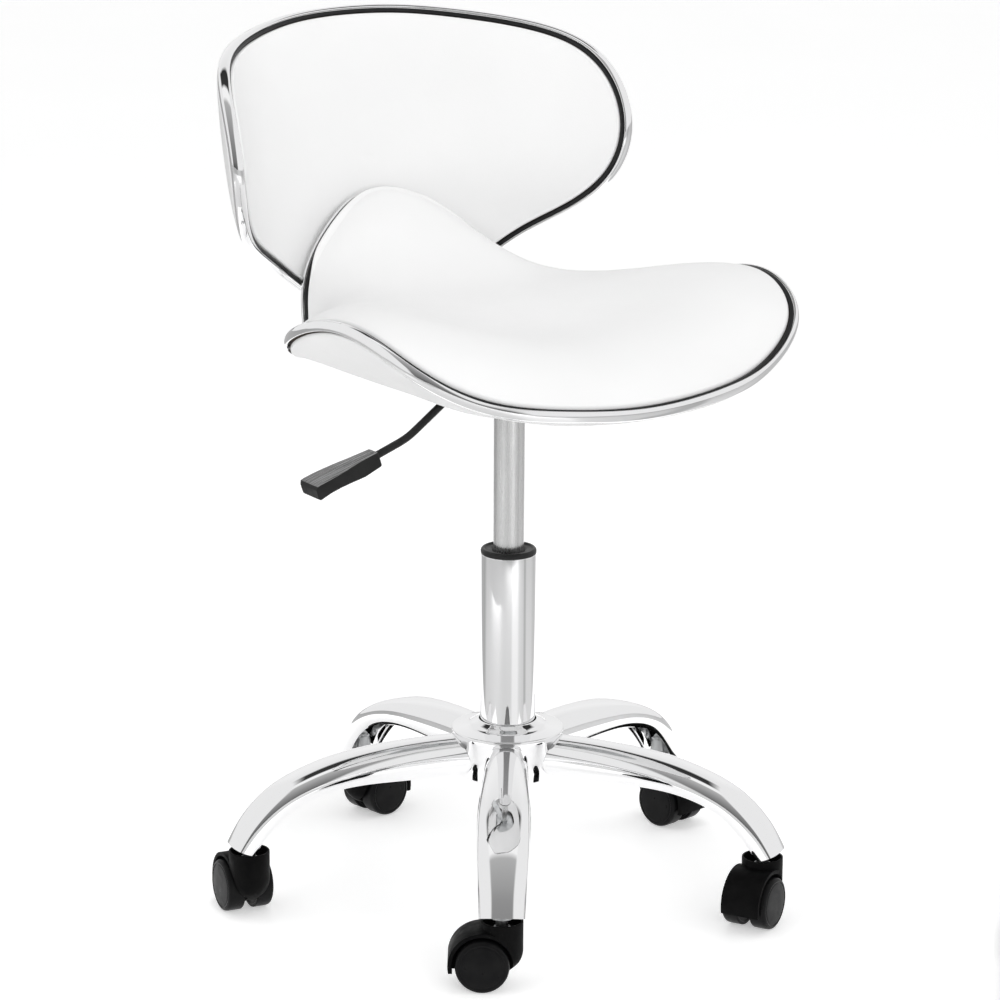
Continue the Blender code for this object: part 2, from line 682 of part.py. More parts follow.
def make_seat_mount(seat, steel):
    bottom = PLATE_TOP - PLATE_THICK
    plate = box_mesh("plate", (-PLATE_HALF, -PLATE_HALF, bottom), (PLATE_HALF, PLATE_HALF, PLATE_TOP))
    socket = turned("socket_tube", (
        (0, 0.4560), (0.0190, 0.4560), (0.0190, bottom + 0.001), (0, bottom + 0.001)), 24)
    bore = turned("socket_bore", (
        (0, 0.4500), (CYLINDER_RADIUS + 0.0004, 0.4500), (CYLINDER_RADIUS + 0.0004, 0.4555),
        (0.0137, CYLINDER_TOP), (0.0137, bottom - 0.001), (0, bottom - 0.001)), 24)
    # Two cheeks beside the lever rod, which its pivot pin turns in
    cheeks = box_mesh("cheeks", (-0.031, -0.0080, 0.4840), (-0.0165, 0.0080, bottom + 0.001))
    slot = box_mesh("slot", (-0.040, -0.0045, 0.4830), (0.0, 0.0045, bottom - 0.0005))
    pivot = rod_mesh("pivot", PIVOT_PIN_RADIUS + GAP, (LEVER_PIVOT_X, -0.02, LEVER_HEIGHT),
                     (LEVER_PIVOT_X, 0.02, LEVER_HEIGHT), 12)
    steps = [("UNION", socket), ("UNION", cheeks)]
    steps += [("DIFFERENCE", cutter) for cutter in (bore, slot, pivot)]
    for x in (-PLATE_HOLES, PLATE_HOLES):
        for y in (-PLATE_HOLES, PLATE_HOLES):
            steps.append(("DIFFERENCE", rod_mesh("hole", 0.0033, (x, y, 0.49), (x, y, 0.51), 8)))
    mesh_object("seat_mount", combined("seat_mount", plate, *steps), steel, seat)


def make_lever(seat, black, grip_black):
    lever = empty("lever", seat, (LEVER_PIVOT_X, 0, LEVER_HEIGHT))
    line = [(x - LEVER_PIVOT_X, z - LEVER_HEIGHT) for x, z in LEVER_LINE]
    points = []
    steps = 10
    for k, place in enumerate(line):
        before, after = line[max(k - 1, 0)], line[min(k + 1, len(line) - 1)]
        along = np.array(after) - np.array(before)
        along /= np.linalg.norm(along)
        for i in range(steps):
            angle = math.tau * i / steps
            side = LEVER_RADIUS * math.cos(angle)
            up = LEVER_RADIUS * math.sin(angle)
            points.append((place[0] + along[1] * up, side, place[1] - along[0] * up))
    faces = [
        (k * steps + i, k * steps + (i + 1) % steps, (k + 1) * steps + (i + 1) % steps, (k + 1) * steps + i)
        for k in range(len(line) - 1)
        for i in range(steps)
    ]
    faces += [range(steps), range((len(line) - 1) * steps, len(line) * steps)]
    rod = mesh_from("lever_rod", points, [tuple(f) for f in faces])
    pin = rod_mesh("pin", PIVOT_PIN_RADIUS, (0, -0.0078, 0), (0, 0.0078, 0), 12)
    mesh_object("lever_rod", combined("lever_rod", rod, ("UNION", pin)), black, lever)
    mesh_object("lever_grip", grip_mesh(), grip_black, lever)


# The grip's stations from rod to tip: share of its length, half width, top, bottom
GRIP_STATIONS = (
    (0.00, 0.0080, 0.0055, -0.0085),
    (0.25, 0.0096, 0.0060, -0.0095),
    (0.50, 0.0126, 0.0062, -0.0078),
    (0.75, 0.0149, 0.0062, -0.0058),
    (0.95, 0.0152, 0.0060, -0.0072),
    (1.00, 0.0142, 0.0048, -0.0060),
)


def grip_mesh():
    """The paddle, with a blind bore that the rod's end sits in."""
    start, end = np.array(GRIP_START), np.array(GRIP_END)
    length = float(np.linalg.norm(end - start))
    along = (end - start) / length
    upward = np.array([along[1], -along[0]])
    origin = np.array((LEVER_PIVOT_X, LEVER_HEIGHT))
    points = []
    for share, half, top, bottom in GRIP_STATIONS:
        middle = start + along * length * share - origin
        corner = 0.0015
        outline = (
            (half, top - corner), (half - corner, top), (corner - half, top), (-half, top - corner),
            (-half, bottom + corner), (corner - half, bottom), (half - corner, bottom),
            (half, bottom + corner))
        for across, up in outline:
            at = middle + upward * up
            points.append((at[0], across, at[1]))
    per = 8
    faces = [
        (k * per + i, k * per + (i + 1) % per, (k + 1) * per + (i + 1) % per, (k + 1) * per + i)
        for k in range(len(GRIP_STATIONS) - 1)
        for i in range(per)
    ]
    faces += [tuple(range(per)), tuple(range((len(GRIP_STATIONS) - 1) * per, len(GRIP_STATIONS) * per))]
    solid = mesh_from("grip", points, faces)
    last, end_point = np.array(LEVER_LINE[-2]) - origin, np.array(LEVER_LINE[-1]) - origin
    run = (end_point - last) / np.linalg.norm(end_point - last)
    stop = end_point + run * 0.0004
    bore = rod_mesh("bore", LEVER_RADIUS + GAP, (last[0], 0, last[1]), (stop[0], 0, stop[1]), 12)
    return combined("grip", solid, ("DIFFERENCE", bore))


# Seat and backrest


CUSHION_RIM = 0.0030  # height of a cushion's upper side at its edge


def crown(height):
    """A pad's upper side: low at its edge, rising quickly to the crown."""
    return lambda r: (CUSHION_RIM, (height - CUSHION_RIM) * (1 - r**6))


def level(height):
    return lambda r: (height, 0)


def shell_top(r):
    return (SHELL_TOP if r < 1 else SHELL_RABBET, 0)


def edge_sections():
    piping = ellipse(-0.0016, PIPING_UP, PIPING_RADIUS, PIPING_RADIUS, 6)
    trim = ellipse(0.0010 + TRIM_DEPTH / 2, TRIM_UP, TRIM_DEPTH / 2, TRIM_HEIGHT / 2, 6)
    return piping, trim


def make_seat(seat, wood, leather, cord, chrome, cover_white):
    surface = SeatSurface()
    shell_low = SHELL_TOP - SHELL_THICK
    mesh_object("seat_shell", pad(
        "seat_shell", surface, SHELL_INSET, level(shell_low), shell_top), wood, seat)
    mesh_object("seat_cushion", pad(
        "seat_cushion", surface, CUSHION_INSET, level(SHELL_TOP + GAP), crown(SEAT_CROWN)),
        leather, seat)
    piping, trim = edge_sections()
    mesh_object("seat_piping", edge_ring("seat_piping", surface, piping), cord, seat)
    mesh_object("seat_trim", edge_ring("seat_trim", surface, trim), chrome, seat)

    top = shell_low - GAP

    def outside(r):
        return (top - COVER_RIM, -SEAT_BELLY * (1 - r * r))

    def inside(r):
        return (top, min(0, COVER_WALL - COVER_RIM + outside(r)[1]))

    cover = pad("seat_under_cover", surface, SHELL_INSET, outside, inside, open_middle=True)
    lever_slot = box_mesh("lever_slot", (-0.105, -0.008, 0.43), (-0.030, 0.008, 0.50))
    bar_slot = box_mesh("bar_slot", (-0.0225, 0.030, 0.43), (0.0225, 0.135, 0.5175))
    cover = combined("seat_under_cover", cover, ("DIFFERENCE", lever_slot), ("DIFFERENCE", bar_slot))
    mesh_object("seat_under_cover", cover, cover_white, seat)


# The back bar's line as (y, z): flat under the seat, then up behind the backrest
BAR_LINE = (
    (0.030, 0.4955),
    (0.085, 0.4955),
    (0.130, 0.4900),
    (0.204, 0.4880),
    (0.2210, 0.4897),
    (0.2314, 0.4960),
    (0.2376, 0.5060),
    (0.2467, 0.5400),
    (0.2798, 0.6680),
)
BAR_HALF_WIDTH = 0.020
BAR_THICK = 0.005
BAR_SCREWS = (0.600, 0.640)
SCREW_REACH = 0.0152  # of a bar screw's end in front of the bar's middle
COVER_DEPTH = 0.008


def bar_side(height):
    """The y of the bar's middle at this height, on its upper straight run."""
    (y0, z0), (y1, z1) = BAR_LINE[-2:]
    return y0 + (y1 - y0) * (height - z0) / (z1 - z0)


def make_back_bar(seat, steel):
    points = []
    for k, place in enumerate(BAR_LINE):
        before, after = BAR_LINE[max(k - 1, 0)], BAR_LINE[min(k + 1, len(BAR_LINE) - 1)]
        along = np.array(after) - np.array(before)
        along /= np.linalg.norm(along)
        upward = np.array((-along[1], along[0])) * BAR_THICK / 2
        for side in (-BAR_HALF_WIDTH, BAR_HALF_WIDTH):
            for sign in (-1, 1):
                at = np.array(place) + upward * sign
                points.append((side, at[0], at[1]))
    faces = []
    for k in range(len(BAR_LINE) - 1):
        a, b = 4 * k, 4 * (k + 1)
        for i, j in ((0, 1), (1, 3), (3, 2), (2, 0)):
            faces.append((a + i, a + j, b + j, b + i))
    last = 4 * (len(BAR_LINE) - 1)
    faces += [(0, 1, 3, 2), (last, last + 1, last + 3, last + 2)]
    steps = [("DIFFERENCE", screw_hole(z, 0.0033, -0.010, 0.010)) for z in BAR_SCREWS]
    steps += [
        ("DIFFERENCE", rod_mesh("hole", 0.0033, (x, 0.060, 0.48), (x, 0.060, 0.51), 12))
        for x in (-0.010, 0.010)
    ]
    bar = combined("back_bar", mesh_from("bar", points, faces), *steps)
    mesh_object("back_bar", bar, steel, seat, sharp=30)


def screw_axis(height):
    """A point on the bar's middle and the direction forwards, square to the bar."""
    (y0, z0), (y1, z1) = BAR_LINE[-2:]
    run = Vector((0, y1 - y0, z1 - z0)).normalized()
    forward = Vector((0, -run.z, run.y))
    return Vector((0, bar_side(height), height)), forward


def screw_hole(height, radius, start, end):
    place, forward = screw_axis(height)
    return rod_mesh("hole", radius, place + forward * start, place + forward * end, 12)


def make_back(seat, wood, leather, cord, chrome, cover_white, steel):
    surface = BackSurface()
    shell_low = SHELL_TOP - SHELL_THICK
    shell = pad("back_shell", surface, SHELL_INSET, level(shell_low), shell_top)
    holes = [("DIFFERENCE", screw_hole(z, 0.0033, -0.010, SCREW_REACH + 0.0006)) for z in BAR_SCREWS]
    mesh_object("back_shell", combined("back_shell", shell, *holes), wood, seat)
    mesh_object("back_cushion", pad(
        "back_cushion", surface, CUSHION_INSET, level(SHELL_TOP + GAP), crown(BACK_CROWN)),
        leather, seat)
    piping, trim = edge_sections()
    mesh_object("back_piping", edge_ring("back_piping", surface, piping), cord, seat)
    mesh_object("back_trim", edge_ring("back_trim", surface, trim), chrome, seat)
    top = shell_low - GAP

    def outside(r):
        return (top - COVER_RIM, (COVER_RIM - COVER_DEPTH) * (1 - r**4))

    cover = pad("back_cover", surface, SHELL_INSET, outside, level(top))
    holes = [("DIFFERENCE", screw_hole(z, 0.0040, -0.010, 0.030)) for z in BAR_SCREWS]
    mesh_object("back_cover", combined("back_cover", cover, *holes), cover_white, seat)
    for z, name in zip(BAR_SCREWS, ("lower", "upper")):
        place, forward = screw_axis(z)
        turn = forward.to_track_quat("Z", "Y").to_matrix().to_4x4()
        head = -BAR_THICK / 2 - GAP
        mesh = turned("screw", (
            (0, head - 0.0030), (0.0035, head - 0.0028), (0.0060, head - 0.0008), (0.0060, head),
            (0.0030, head), (0.0030, SCREW_REACH), (0, SCREW_REACH)), 16)
        mesh.transform(Matrix.Translation(place) @ turn)
        mesh_object("back_bar_screw_" + name, mesh, steel, seat)


def main():
    clear_scene()
    chrome = material("chrome", (0.86, 0.87, 0.88), 0.06, 1.0)
    brushed = material("brushed_steel", (0.62, 0.62, 0.62), 0.28, 1.0)
    steel = material("zinc_steel", (0.55, 0.56, 0.57), 0.35, 1.0)
    nylon = material("black_nylon", (0.016, 0.016, 0.017), 0.5)
    wheel_black = material("wheel_black", (0.012, 0.012, 0.013), 0.35)
    plastic = material("black_plastic", (0.012, 0.012, 0.012), 0.35)
    powder = material("black_powder_coat", (0.015, 0.015, 0.015), 0.42)
    leather = material("white_synthetic_leather", (0.86, 0.86, 0.86), 0.42)
    cover_white = material("white_cover", (0.84, 0.84, 0.84), 0.45)
    cord = material("black_piping", (0.012, 0.012, 0.012), 0.4)
    wood = material("plywood", (0.55, 0.38, 0.22), 0.7)

    stool = empty("stool", None, (AXIS_X, AXIS_Y, 0))
    make_hub(stool, chrome)
    make_base(stool, chrome, steel, nylon, wheel_black)
    lift = make_column(stool, chrome, brushed, steel, plastic)
    seat = empty("seat", lift)
    make_seat_mount(seat, steel)
    make_lever(seat, powder, plastic)
    make_seat(seat, wood, leather, cord, chrome, cover_white)
    make_back_bar(seat, steel)
    make_back(seat, wood, leather, cord, chrome, cover_white, steel)


main()
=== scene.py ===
"""Looks of the pedicure stool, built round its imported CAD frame."""

import math

import bmesh
import bpy
import numpy as np
from mathutils import Matrix, Vector


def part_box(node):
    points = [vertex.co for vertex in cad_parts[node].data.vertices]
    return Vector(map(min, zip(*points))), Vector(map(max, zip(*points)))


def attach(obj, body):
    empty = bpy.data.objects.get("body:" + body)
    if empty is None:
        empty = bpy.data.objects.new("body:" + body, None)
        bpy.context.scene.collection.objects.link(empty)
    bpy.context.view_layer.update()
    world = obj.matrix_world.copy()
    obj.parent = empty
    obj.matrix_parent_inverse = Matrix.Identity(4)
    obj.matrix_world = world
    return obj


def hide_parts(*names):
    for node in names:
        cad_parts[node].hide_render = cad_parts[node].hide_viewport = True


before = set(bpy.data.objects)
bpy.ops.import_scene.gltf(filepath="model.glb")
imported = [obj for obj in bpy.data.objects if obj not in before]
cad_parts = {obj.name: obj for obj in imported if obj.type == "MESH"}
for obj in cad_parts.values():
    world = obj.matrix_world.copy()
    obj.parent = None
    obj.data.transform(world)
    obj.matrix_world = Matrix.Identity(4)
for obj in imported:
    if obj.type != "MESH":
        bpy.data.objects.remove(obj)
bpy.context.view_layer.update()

LEGS = 5
SEED = 7

# The column's axis, in the row frame. Every mesh below is made about it, in metres.
tube_low, tube_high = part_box("outer_tube")
AXIS = Vector(((tube_low.x + tube_high.x) / 2, (tube_low.y + tube_high.y) / 2, 0))

# Base, as in the CAD source
FIRST_LEG_ANGLE = -34.0
STEM_RADIUS = 0.243
TRAIL = 0.017
WHEEL_RADIUS = 0.0237
WHEEL_WIDTH = 0.0163
WHEEL_INNER = 0.0060
WEB_HALF = 0.0055
HOOD_RADIUS = 0.030
HOOD_INNER = 0.0267
HOOD_HALF = 0.0183
NECK_RADIUS = 0.0185
CUP_TOP = 0.060
CUP_FLOOR = 0.052
# The turn of each castor at rest, as in the photo
SWIVEL_ANGLES = (-123.0, -61.5, 11.0, 101.0, 171.5)
LEVER_HEIGHT = 0.4898
LEVER_PIVOT_X = -0.025
TUBE_BOTTOM = 0.108
TUBE_FULL = 0.1645
TUBE_TOP = 0.3200
TUBE_RADII = (0.0238, 0.0250)
HUB_BOTTOM = 0.113
HUB_FLARE = (0.128, 0.1525)
HUB_RADII = (0.0445, 0.0510)

# Half of the seat's edge from front to back, as (across, along, height)
SEAT_EDGE = (
    (0.000, -0.218, 0.500),
    (0.081, -0.213, 0.506),
    (0.149, -0.188, 0.518),
    (0.196, -0.157, 0.546),
    (0.214, -0.107, 0.568),
    (0.219, -0.043, 0.567),
    (0.213, 0.018, 0.546),
    (0.174, 0.084, 0.516),
    (0.128, 0.140, 0.508),
    (0.102, 0.184, 0.546),
    (0.057, 0.208, 0.595),
    (0.000, 0.226, 0.614),
)
SEAT_SPINE = ((-0.15, 0.512), (-0.08, 0.513), (0.0, 0.519), (0.07, 0.5265), (0.14, 0.560))
SEAT_CROWN = 0.033
SEAT_BELLY = 0.0455
SEAT_OPENING = 0.309
# Half of the backrest's outline from top to bottom, laid flat, as (across, up)
BACK_OUTLINE = (
    (0.000, 0.778),
    (0.060, 0.774),
    (0.121, 0.761),
    (0.178, 0.743),
    (0.226, 0.717),
    (0.254, 0.680),
    (0.259, 0.635),
    (0.236, 0.596),
    (0.190, 0.570),
    (0.147, 0.555),
    (0.107, 0.535),
    (0.065, 0.516),
    (0.000, 0.509),
)
BACK_BEND = 4.53
BACK_CENTRE_Y = 0.252
BACK_CENTRE_V = 0.640
BACK_TILT = math.radians(14.5)
BACK_CROWN = 0.009
SHELL_THICK = 0.0065
SHELL_TOP = -0.0016
SHELL_RABBET = -0.0034
SHELL_INSET = 0.0056
COVER_INSET = 0.0016
COVER_GAP = 0.0003
COVER_RIM = 0.0020
COVER_DEPTH = 0.008
COVER_WALL = 0.0028
SPLINE_POWER = 0.7

TURNS = 288  # points round a pad

# Camera: fitted distances from the column's axis, looking down at the stool's front right
CAMERA_TURN = math.radians(-33.0)
CAMERA_DISTANCE = 3.793
CAMERA_DROP = math.radians(15.27)
CAMERA_AIM = (-0.0080, 0.0, 0.369)
CAMERA_LENS = 152.0
CAMERA_ROLL = math.radians(0.31)


def turned_vector(vector):
    """A vector given as seen from the camera's side of the stool, in the frame's own axes."""
    return Matrix.Rotation(CAMERA_TURN, 4, "Z") @ Vector(vector)


def make_camera():
    data = bpy.data.cameras.new("camera")
    data.lens = CAMERA_LENS
    data.sensor_width = 36.0
    data.clip_end = 100.0
    camera = bpy.data.objects.new("camera", data)
    bpy.context.scene.collection.objects.link(camera)
    aim = turned_vector(CAMERA_AIM) + AXIS
    back = turned_vector((0, -math.cos(CAMERA_DROP), math.sin(CAMERA_DROP)))
    camera.location = aim + back * CAMERA_DISTANCE
    look = (-back).to_track_quat("-Z", "Y").to_matrix().to_4x4()
    camera.rotation_euler = (look @ Matrix.Rotation(CAMERA_ROLL, 4, "Z")).to_euler()
    bpy.context.scene.camera = camera


# Materials


def node(tree, kind, **settings):
    made = tree.nodes.new(kind)
    for key, value in settings.items():
        if hasattr(made, key):
            setattr(made, key, value)
        else:
            made.inputs[key.replace("_", " ")].default_value = value
    return made


class Finish:
    """A Principled material with noise-driven colour, roughness and bump."""

    def __init__(self, name, colour, roughness, metallic=0.0, **inputs):
        self.material = bpy.data.materials.new(name)
        self.material.use_nodes = True
        self.tree = self.material.node_tree
        self.shader = self.tree.nodes["Principled BSDF"]
        self.shader.inputs["Base Color"].default_value = (*colour, 1)
        self.shader.inputs["Roughness"].default_value = roughness
        self.shader.inputs["Metallic"].default_value = metallic
        for key, value in inputs.items():
            self.shader.inputs[key.replace("_", " ")].default_value = value
        self.place = node(self.tree, "ShaderNodeTexCoord")
        self.bumped = None

    def mapped(self, scale):
        mapping = node(self.tree, "ShaderNodeMapping")
        mapping.inputs["Scale"].default_value = scale
        self.tree.links.new(self.place.outputs["Object"], mapping.inputs["Vector"])
        return mapping.outputs["Vector"]

    def noise(self, scale, detail=3.0, stretch=(1, 1, 1), distortion=0.0):
        settings = {"Scale": scale, "Detail": detail, "Distortion": distortion}
        made = node(self.tree, "ShaderNodeTexNoise", **settings)
        self.tree.links.new(self.mapped(stretch), made.inputs["Vector"])
        return made.outputs["Fac"]

    def cells(self, scale):
        made = node(self.tree, "ShaderNodeTexVoronoi", feature="F1", Scale=scale)
        self.tree.links.new(self.mapped((1, 1, 1)), made.inputs["Vector"])
        return made.outputs["Distance"]

    def ranged(self, source, low, high, start=0.0, end=1.0):
        made = node(self.tree, "ShaderNodeMapRange")
        made.inputs["From Min"].default_value = start
        made.inputs["From Max"].default_value = end
        made.inputs["To Min"].default_value = low
        made.inputs["To Max"].default_value = high
        self.tree.links.new(source, made.inputs["Value"])
        return made.outputs["Result"]

    def roughness(self, source, low, high):
        found = self.ranged(source, low, high, 0.3, 0.7)
        self.tree.links.new(found, self.shader.inputs["Roughness"])

    def colour(self, source, first, second, start=0.3, end=0.7):
        ramp = node(self.tree, "ShaderNodeValToRGB")
        ramp.color_ramp.elements[0].position = start
        ramp.color_ramp.elements[0].color = (*first, 1)
        ramp.color_ramp.elements[1].position = end
        ramp.color_ramp.elements[1].color = (*second, 1)
        self.tree.links.new(source, ramp.inputs["Fac"])
        self.tree.links.new(ramp.outputs["Color"], self.shader.inputs["Base Color"])

    def bump(self, source, strength, depth):
        made = node(self.tree, "ShaderNodeBump", Strength=strength, Distance=depth)
        self.tree.links.new(source, made.inputs["Height"])
        if self.bumped:
            self.tree.links.new(self.bumped, made.inputs["Normal"])
        self.bumped = made.outputs["Normal"]
        self.tree.links.new(self.bumped, self.shader.inputs["Normal"])


def grey(value):
    return (value, value, value)


def make_finishes():
    """The finish of each CAD material slot, and the streaked face of the grip."""
    made = {}

    f = Finish("white_leather_look", grey(0.81), 0.46, Specular_IOR_Level=0.25)
    f.colour(f.noise(9.0, 2.0), grey(0.80), grey(0.82))
    f.roughness(f.noise(60.0, 3.0), 0.38, 0.48)
    f.bump(f.cells(900.0), 0.10, 0.0004)
    f.bump(f.noise(240.0, 4.0), 0.12, 0.0003)
    made["white_leather"] = f

    f = Finish("white_cover_look", grey(0.80), 0.46, Specular_IOR_Level=0.4)
    f.colour(f.noise(12.0, 2.0), grey(0.785), grey(0.81))
    f.roughness(f.noise(80.0, 3.0), 0.42, 0.52)
    f.bump(f.cells(700.0), 0.08, 0.0004)
    made["white_cover"] = f

    f = Finish("black_piping_look", grey(0.009), 0.4, Specular_IOR_Level=0.3)
    f.colour(f.noise(300.0, 3.0), (0.006, 0.006, 0.007), grey(0.012))
    f.roughness(f.noise(400.0, 3.0), 0.30, 0.46)
    f.bump(f.cells(1600.0), 0.25, 0.0002)
    made["black_piping"] = f

    f = Finish("chrome_look", (0.93, 0.93, 0.935), 0.035, 1.0)
    f.roughness(f.noise(18.0, 4.0, distortion=0.6), 0.02, 0.065)
    f.bump(f.noise(35.0, 2.0), 0.03, 0.0005)
    made["chrome"] = f

    f = Finish("brushed_look", grey(0.66), 0.25, 1.0)
    f.colour(f.noise(1.0, 4.0, (900, 900, 14)), grey(0.70), grey(0.79))
    f.roughness(f.noise(1.0, 3.0, (1100, 1100, 30)), 0.20, 0.36)
    f.bump(f.noise(1.0, 3.0, (1500, 1500, 30)), 0.10, 0.0002)
    made["brushed_steel"] = f

    f = Finish("zinc_look", (0.55, 0.56, 0.57), 0.35, 1.0)
    f.colour(f.noise(40.0, 4.0), (0.46, 0.47, 0.48), (0.62, 0.63, 0.63))
    f.roughness(f.noise(90.0, 4.0), 0.26, 0.46)
    f.bump(f.noise(500.0, 3.0), 0.10, 0.0002)
    made["zinc_steel"] = f

    f = Finish("nylon_look", grey(0.003), 0.5, Specular_IOR_Level=0.05)
    f.colour(f.noise(90.0, 3.0), (0.002, 0.002, 0.0022), grey(0.004))
    f.roughness(f.noise(150.0, 3.0), 0.42, 0.58)
    f.bump(f.noise(1400.0, 3.0), 0.22, 0.0003)
    made["black_nylon"] = f

    f = Finish("wheel_look", grey(0.003), 0.30, Specular_IOR_Level=0.10)
    f.colour(f.noise(70.0, 3.0), (0.003, 0.003, 0.0035), grey(0.007))
    f.roughness(f.noise(110.0, 3.0, distortion=0.4), 0.26, 0.42)
    f.bump(f.noise(700.0, 2.0), 0.06, 0.0002)
    made["wheel_black"] = f

    f = Finish("plastic_look", grey(0.008), 0.4, Specular_IOR_Level=0.3)
    f.colour(f.noise(80.0, 3.0), grey(0.006), grey(0.011))
    f.roughness(f.noise(130.0, 3.0), 0.33, 0.47)
    f.bump(f.noise(1200.0, 2.0), 0.10, 0.0002)
    made["black_plastic"] = f

    f = Finish("powder_look", grey(0.008), 0.42, Specular_IOR_Level=0.35)
    f.colour(f.noise(200.0, 3.0), grey(0.006), grey(0.011))
    f.roughness(f.noise(300.0, 3.0), 0.36, 0.5)
    f.bump(f.noise(1800.0, 2.0), 0.25, 0.0002)
    made["black_powder_coat"] = f

    f = Finish("grip_face_look", grey(0.10), 0.3, 0.0, Specular_IOR_Level=0.8)
    f.colour(f.noise(1.0, 4.0, (30, 520, 30)), grey(0.05), grey(0.22), 0.35, 0.65)
    f.roughness(f.noise(1.0, 4.0, (40, 700, 40)), 0.18, 0.4)
    f.bump(f.noise(1.0, 4.0, (30, 900, 30)), 0.15, 0.0002)
    made["grip_face"] = f

    # Plywood grain in a brown darkened far below bare ply: the grain is the wood's own, the
    # darkness is painted shade for the groove between the cover and the chrome band, where this
    # edge shows.
    f = Finish("ply_grain_and_painted_shade", (0.06, 0.045, 0.035), 0.7)
    f.colour(f.noise(1.0, 5.0, (8, 90, 60)), (0.04, 0.03, 0.022), (0.09, 0.068, 0.05))
    f.roughness(f.noise(120.0, 3.0), 0.6, 0.8)
    f.bump(f.noise(1.0, 4.0, (20, 300, 200)), 0.15, 0.0004)
    made["plywood"] = f

    return made


FINISH = make_finishes()

# Meshes


def add(name, mesh, slot, body, replaces=(), sharp=40.0, matrix=None):
    """Puts a mesh, given about the column's axis, in the scene as a piece that rides on body."""
    mesh.materials.clear()
    mesh.materials.append(FINISH[slot].material)
    mesh.shade_smooth()
    if sharp:
        mesh.set_sharp_from_angle(angle=math.radians(sharp))
    made = bpy.data.objects.new(name, mesh)
    bpy.context.scene.collection.objects.link(made)
    made.matrix_world = Matrix.Translation(AXIS) @ (matrix or Matrix())
    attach(made, body)
    if replaces:
        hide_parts(*replaces)
    return made


def mesh_from(name, points, faces):
    mesh = bpy.data.meshes.new(name)
    mesh.from_pydata([tuple(map(float, p)) for p in points], [], faces)
    work = bmesh.new()
    work.from_mesh(mesh)
    bmesh.ops.recalc_face_normals(work, faces=work.faces)
    work.to_mesh(mesh)
    work.free()
    return mesh


def turned(name, profile, steps=64):
    """A body turned round Z from (radius, height) points; a point at radius 0 closes an end."""
    points, rings = [], []
    for radius, height in profile:
        if radius == 0:
            rings.append([len(points)] * steps)
            points.append((0, 0, height))
            continue
        rings.append(range(len(points), len(points) + steps))
        for i in range(steps):
            angle = math.tau * i / steps
            points.append((radius * math.cos(angle), radius * math.sin(angle), height))
    closed = profile[0][0] != 0 or profile[-1][0] != 0
    if closed:
        rings.append(rings[0])
    faces = []
    for low, high in zip(rings[:-1], rings[1:]):
        for i in range(steps):
            j = (i + 1) % steps
            corner = list(dict.fromkeys((low[i], low[j], high[j], high[i])))
            if len(corner) > 2:
                faces.append(corner)
    return mesh_from(name, points, faces)


def rounded(points, radius, steps=4, closed=True):
    """The outline with each corner rounded; radius is one number or one for each corner."""
    count = len(points)
    radii = [radius] * count if isinstance(radius, (int, float)) else list(radius)
    found = []
    for i in range(count):
        here = np.array(points[i], float)
        before, after = np.array(points[i - 1], float), np.array(points[(i + 1) % count], float)
        if radii[i] <= 0 or (not closed and i in (0, count - 1)):
            found.append(tuple(here))
            continue
        a, b = before - here, after - here
        la, lb = np.linalg.norm(a), np.linalg.norm(b)
        cut = min(radii[i], la * 0.48, lb * 0.48)
        start, end = here + a / la * cut, here + b / lb * cut
        for k in range(steps + 1):
            t = k / steps
            found.append(tuple((1 - t) ** 2 * start + 2 * t * (1 - t) * here + t * t * end))
    return found


def lofted(name, points, per):
    """A closed body over rings of per points each, one ring after another."""
    count = len(points) // per
    faces = [
        (k * per + i, k * per + (i + 1) % per, (k + 1) * per + (i + 1) % per, (k + 1) * per + i)
        for k in range(count - 1)
        for i in range(per)
    ]
    faces += [tuple(range(per)), tuple(range((count - 1) * per, count * per))]
    return mesh_from(name, points, faces)


def swept(name, path, outline, upward=(0, 0, 1)):
    """A rod of (side, up) outline points along a path of 3-D points, closed at its ends."""
    path = np.array(path, float)
    points = []
    for k in range(len(path)):
        along = path[min(k + 1, len(path) - 1)] - path[max(k - 1, 0)]
        along /= np.linalg.norm(along)
        side = np.cross(along, upward)
        side /= np.linalg.norm(side)
        up = np.cross(side, along)
        points += [path[k] + side * a + up * b for a, b in outline]
    return lofted(name, points, len(outline))


def circle(radius, steps, centre=(0, 0)):
    return [
        (centre[0] + radius * math.cos(math.tau * i / steps),
         centre[1] + radius * math.sin(math.tau * i / steps))
        for i in range(steps)
    ]


def box_mesh(name, low, high):
    points = [(x, y, z) for x in (low[0], high[0]) for y in (low[1], high[1])
              for z in (low[2], high[2])]
    faces = [(0, 1, 3, 2), (4, 6, 7, 5), (0, 4, 5, 1), (2, 3, 7, 6), (0, 2, 6, 4), (1, 5, 7, 3)]
    return mesh_from(name, points, faces)


def rod_mesh(name, radius, start, end, steps=48):
    start, end = Vector(start), Vector(end)
    length = (end - start).length
    mesh = turned(name, ((0, 0), (radius, 0), (radius, length), (0, length)), steps)
    turn = (end - start).to_track_quat("Z", "Y").to_matrix().to_4x4()
    mesh.transform(Matrix.Translation(start) @ turn)
    return mesh


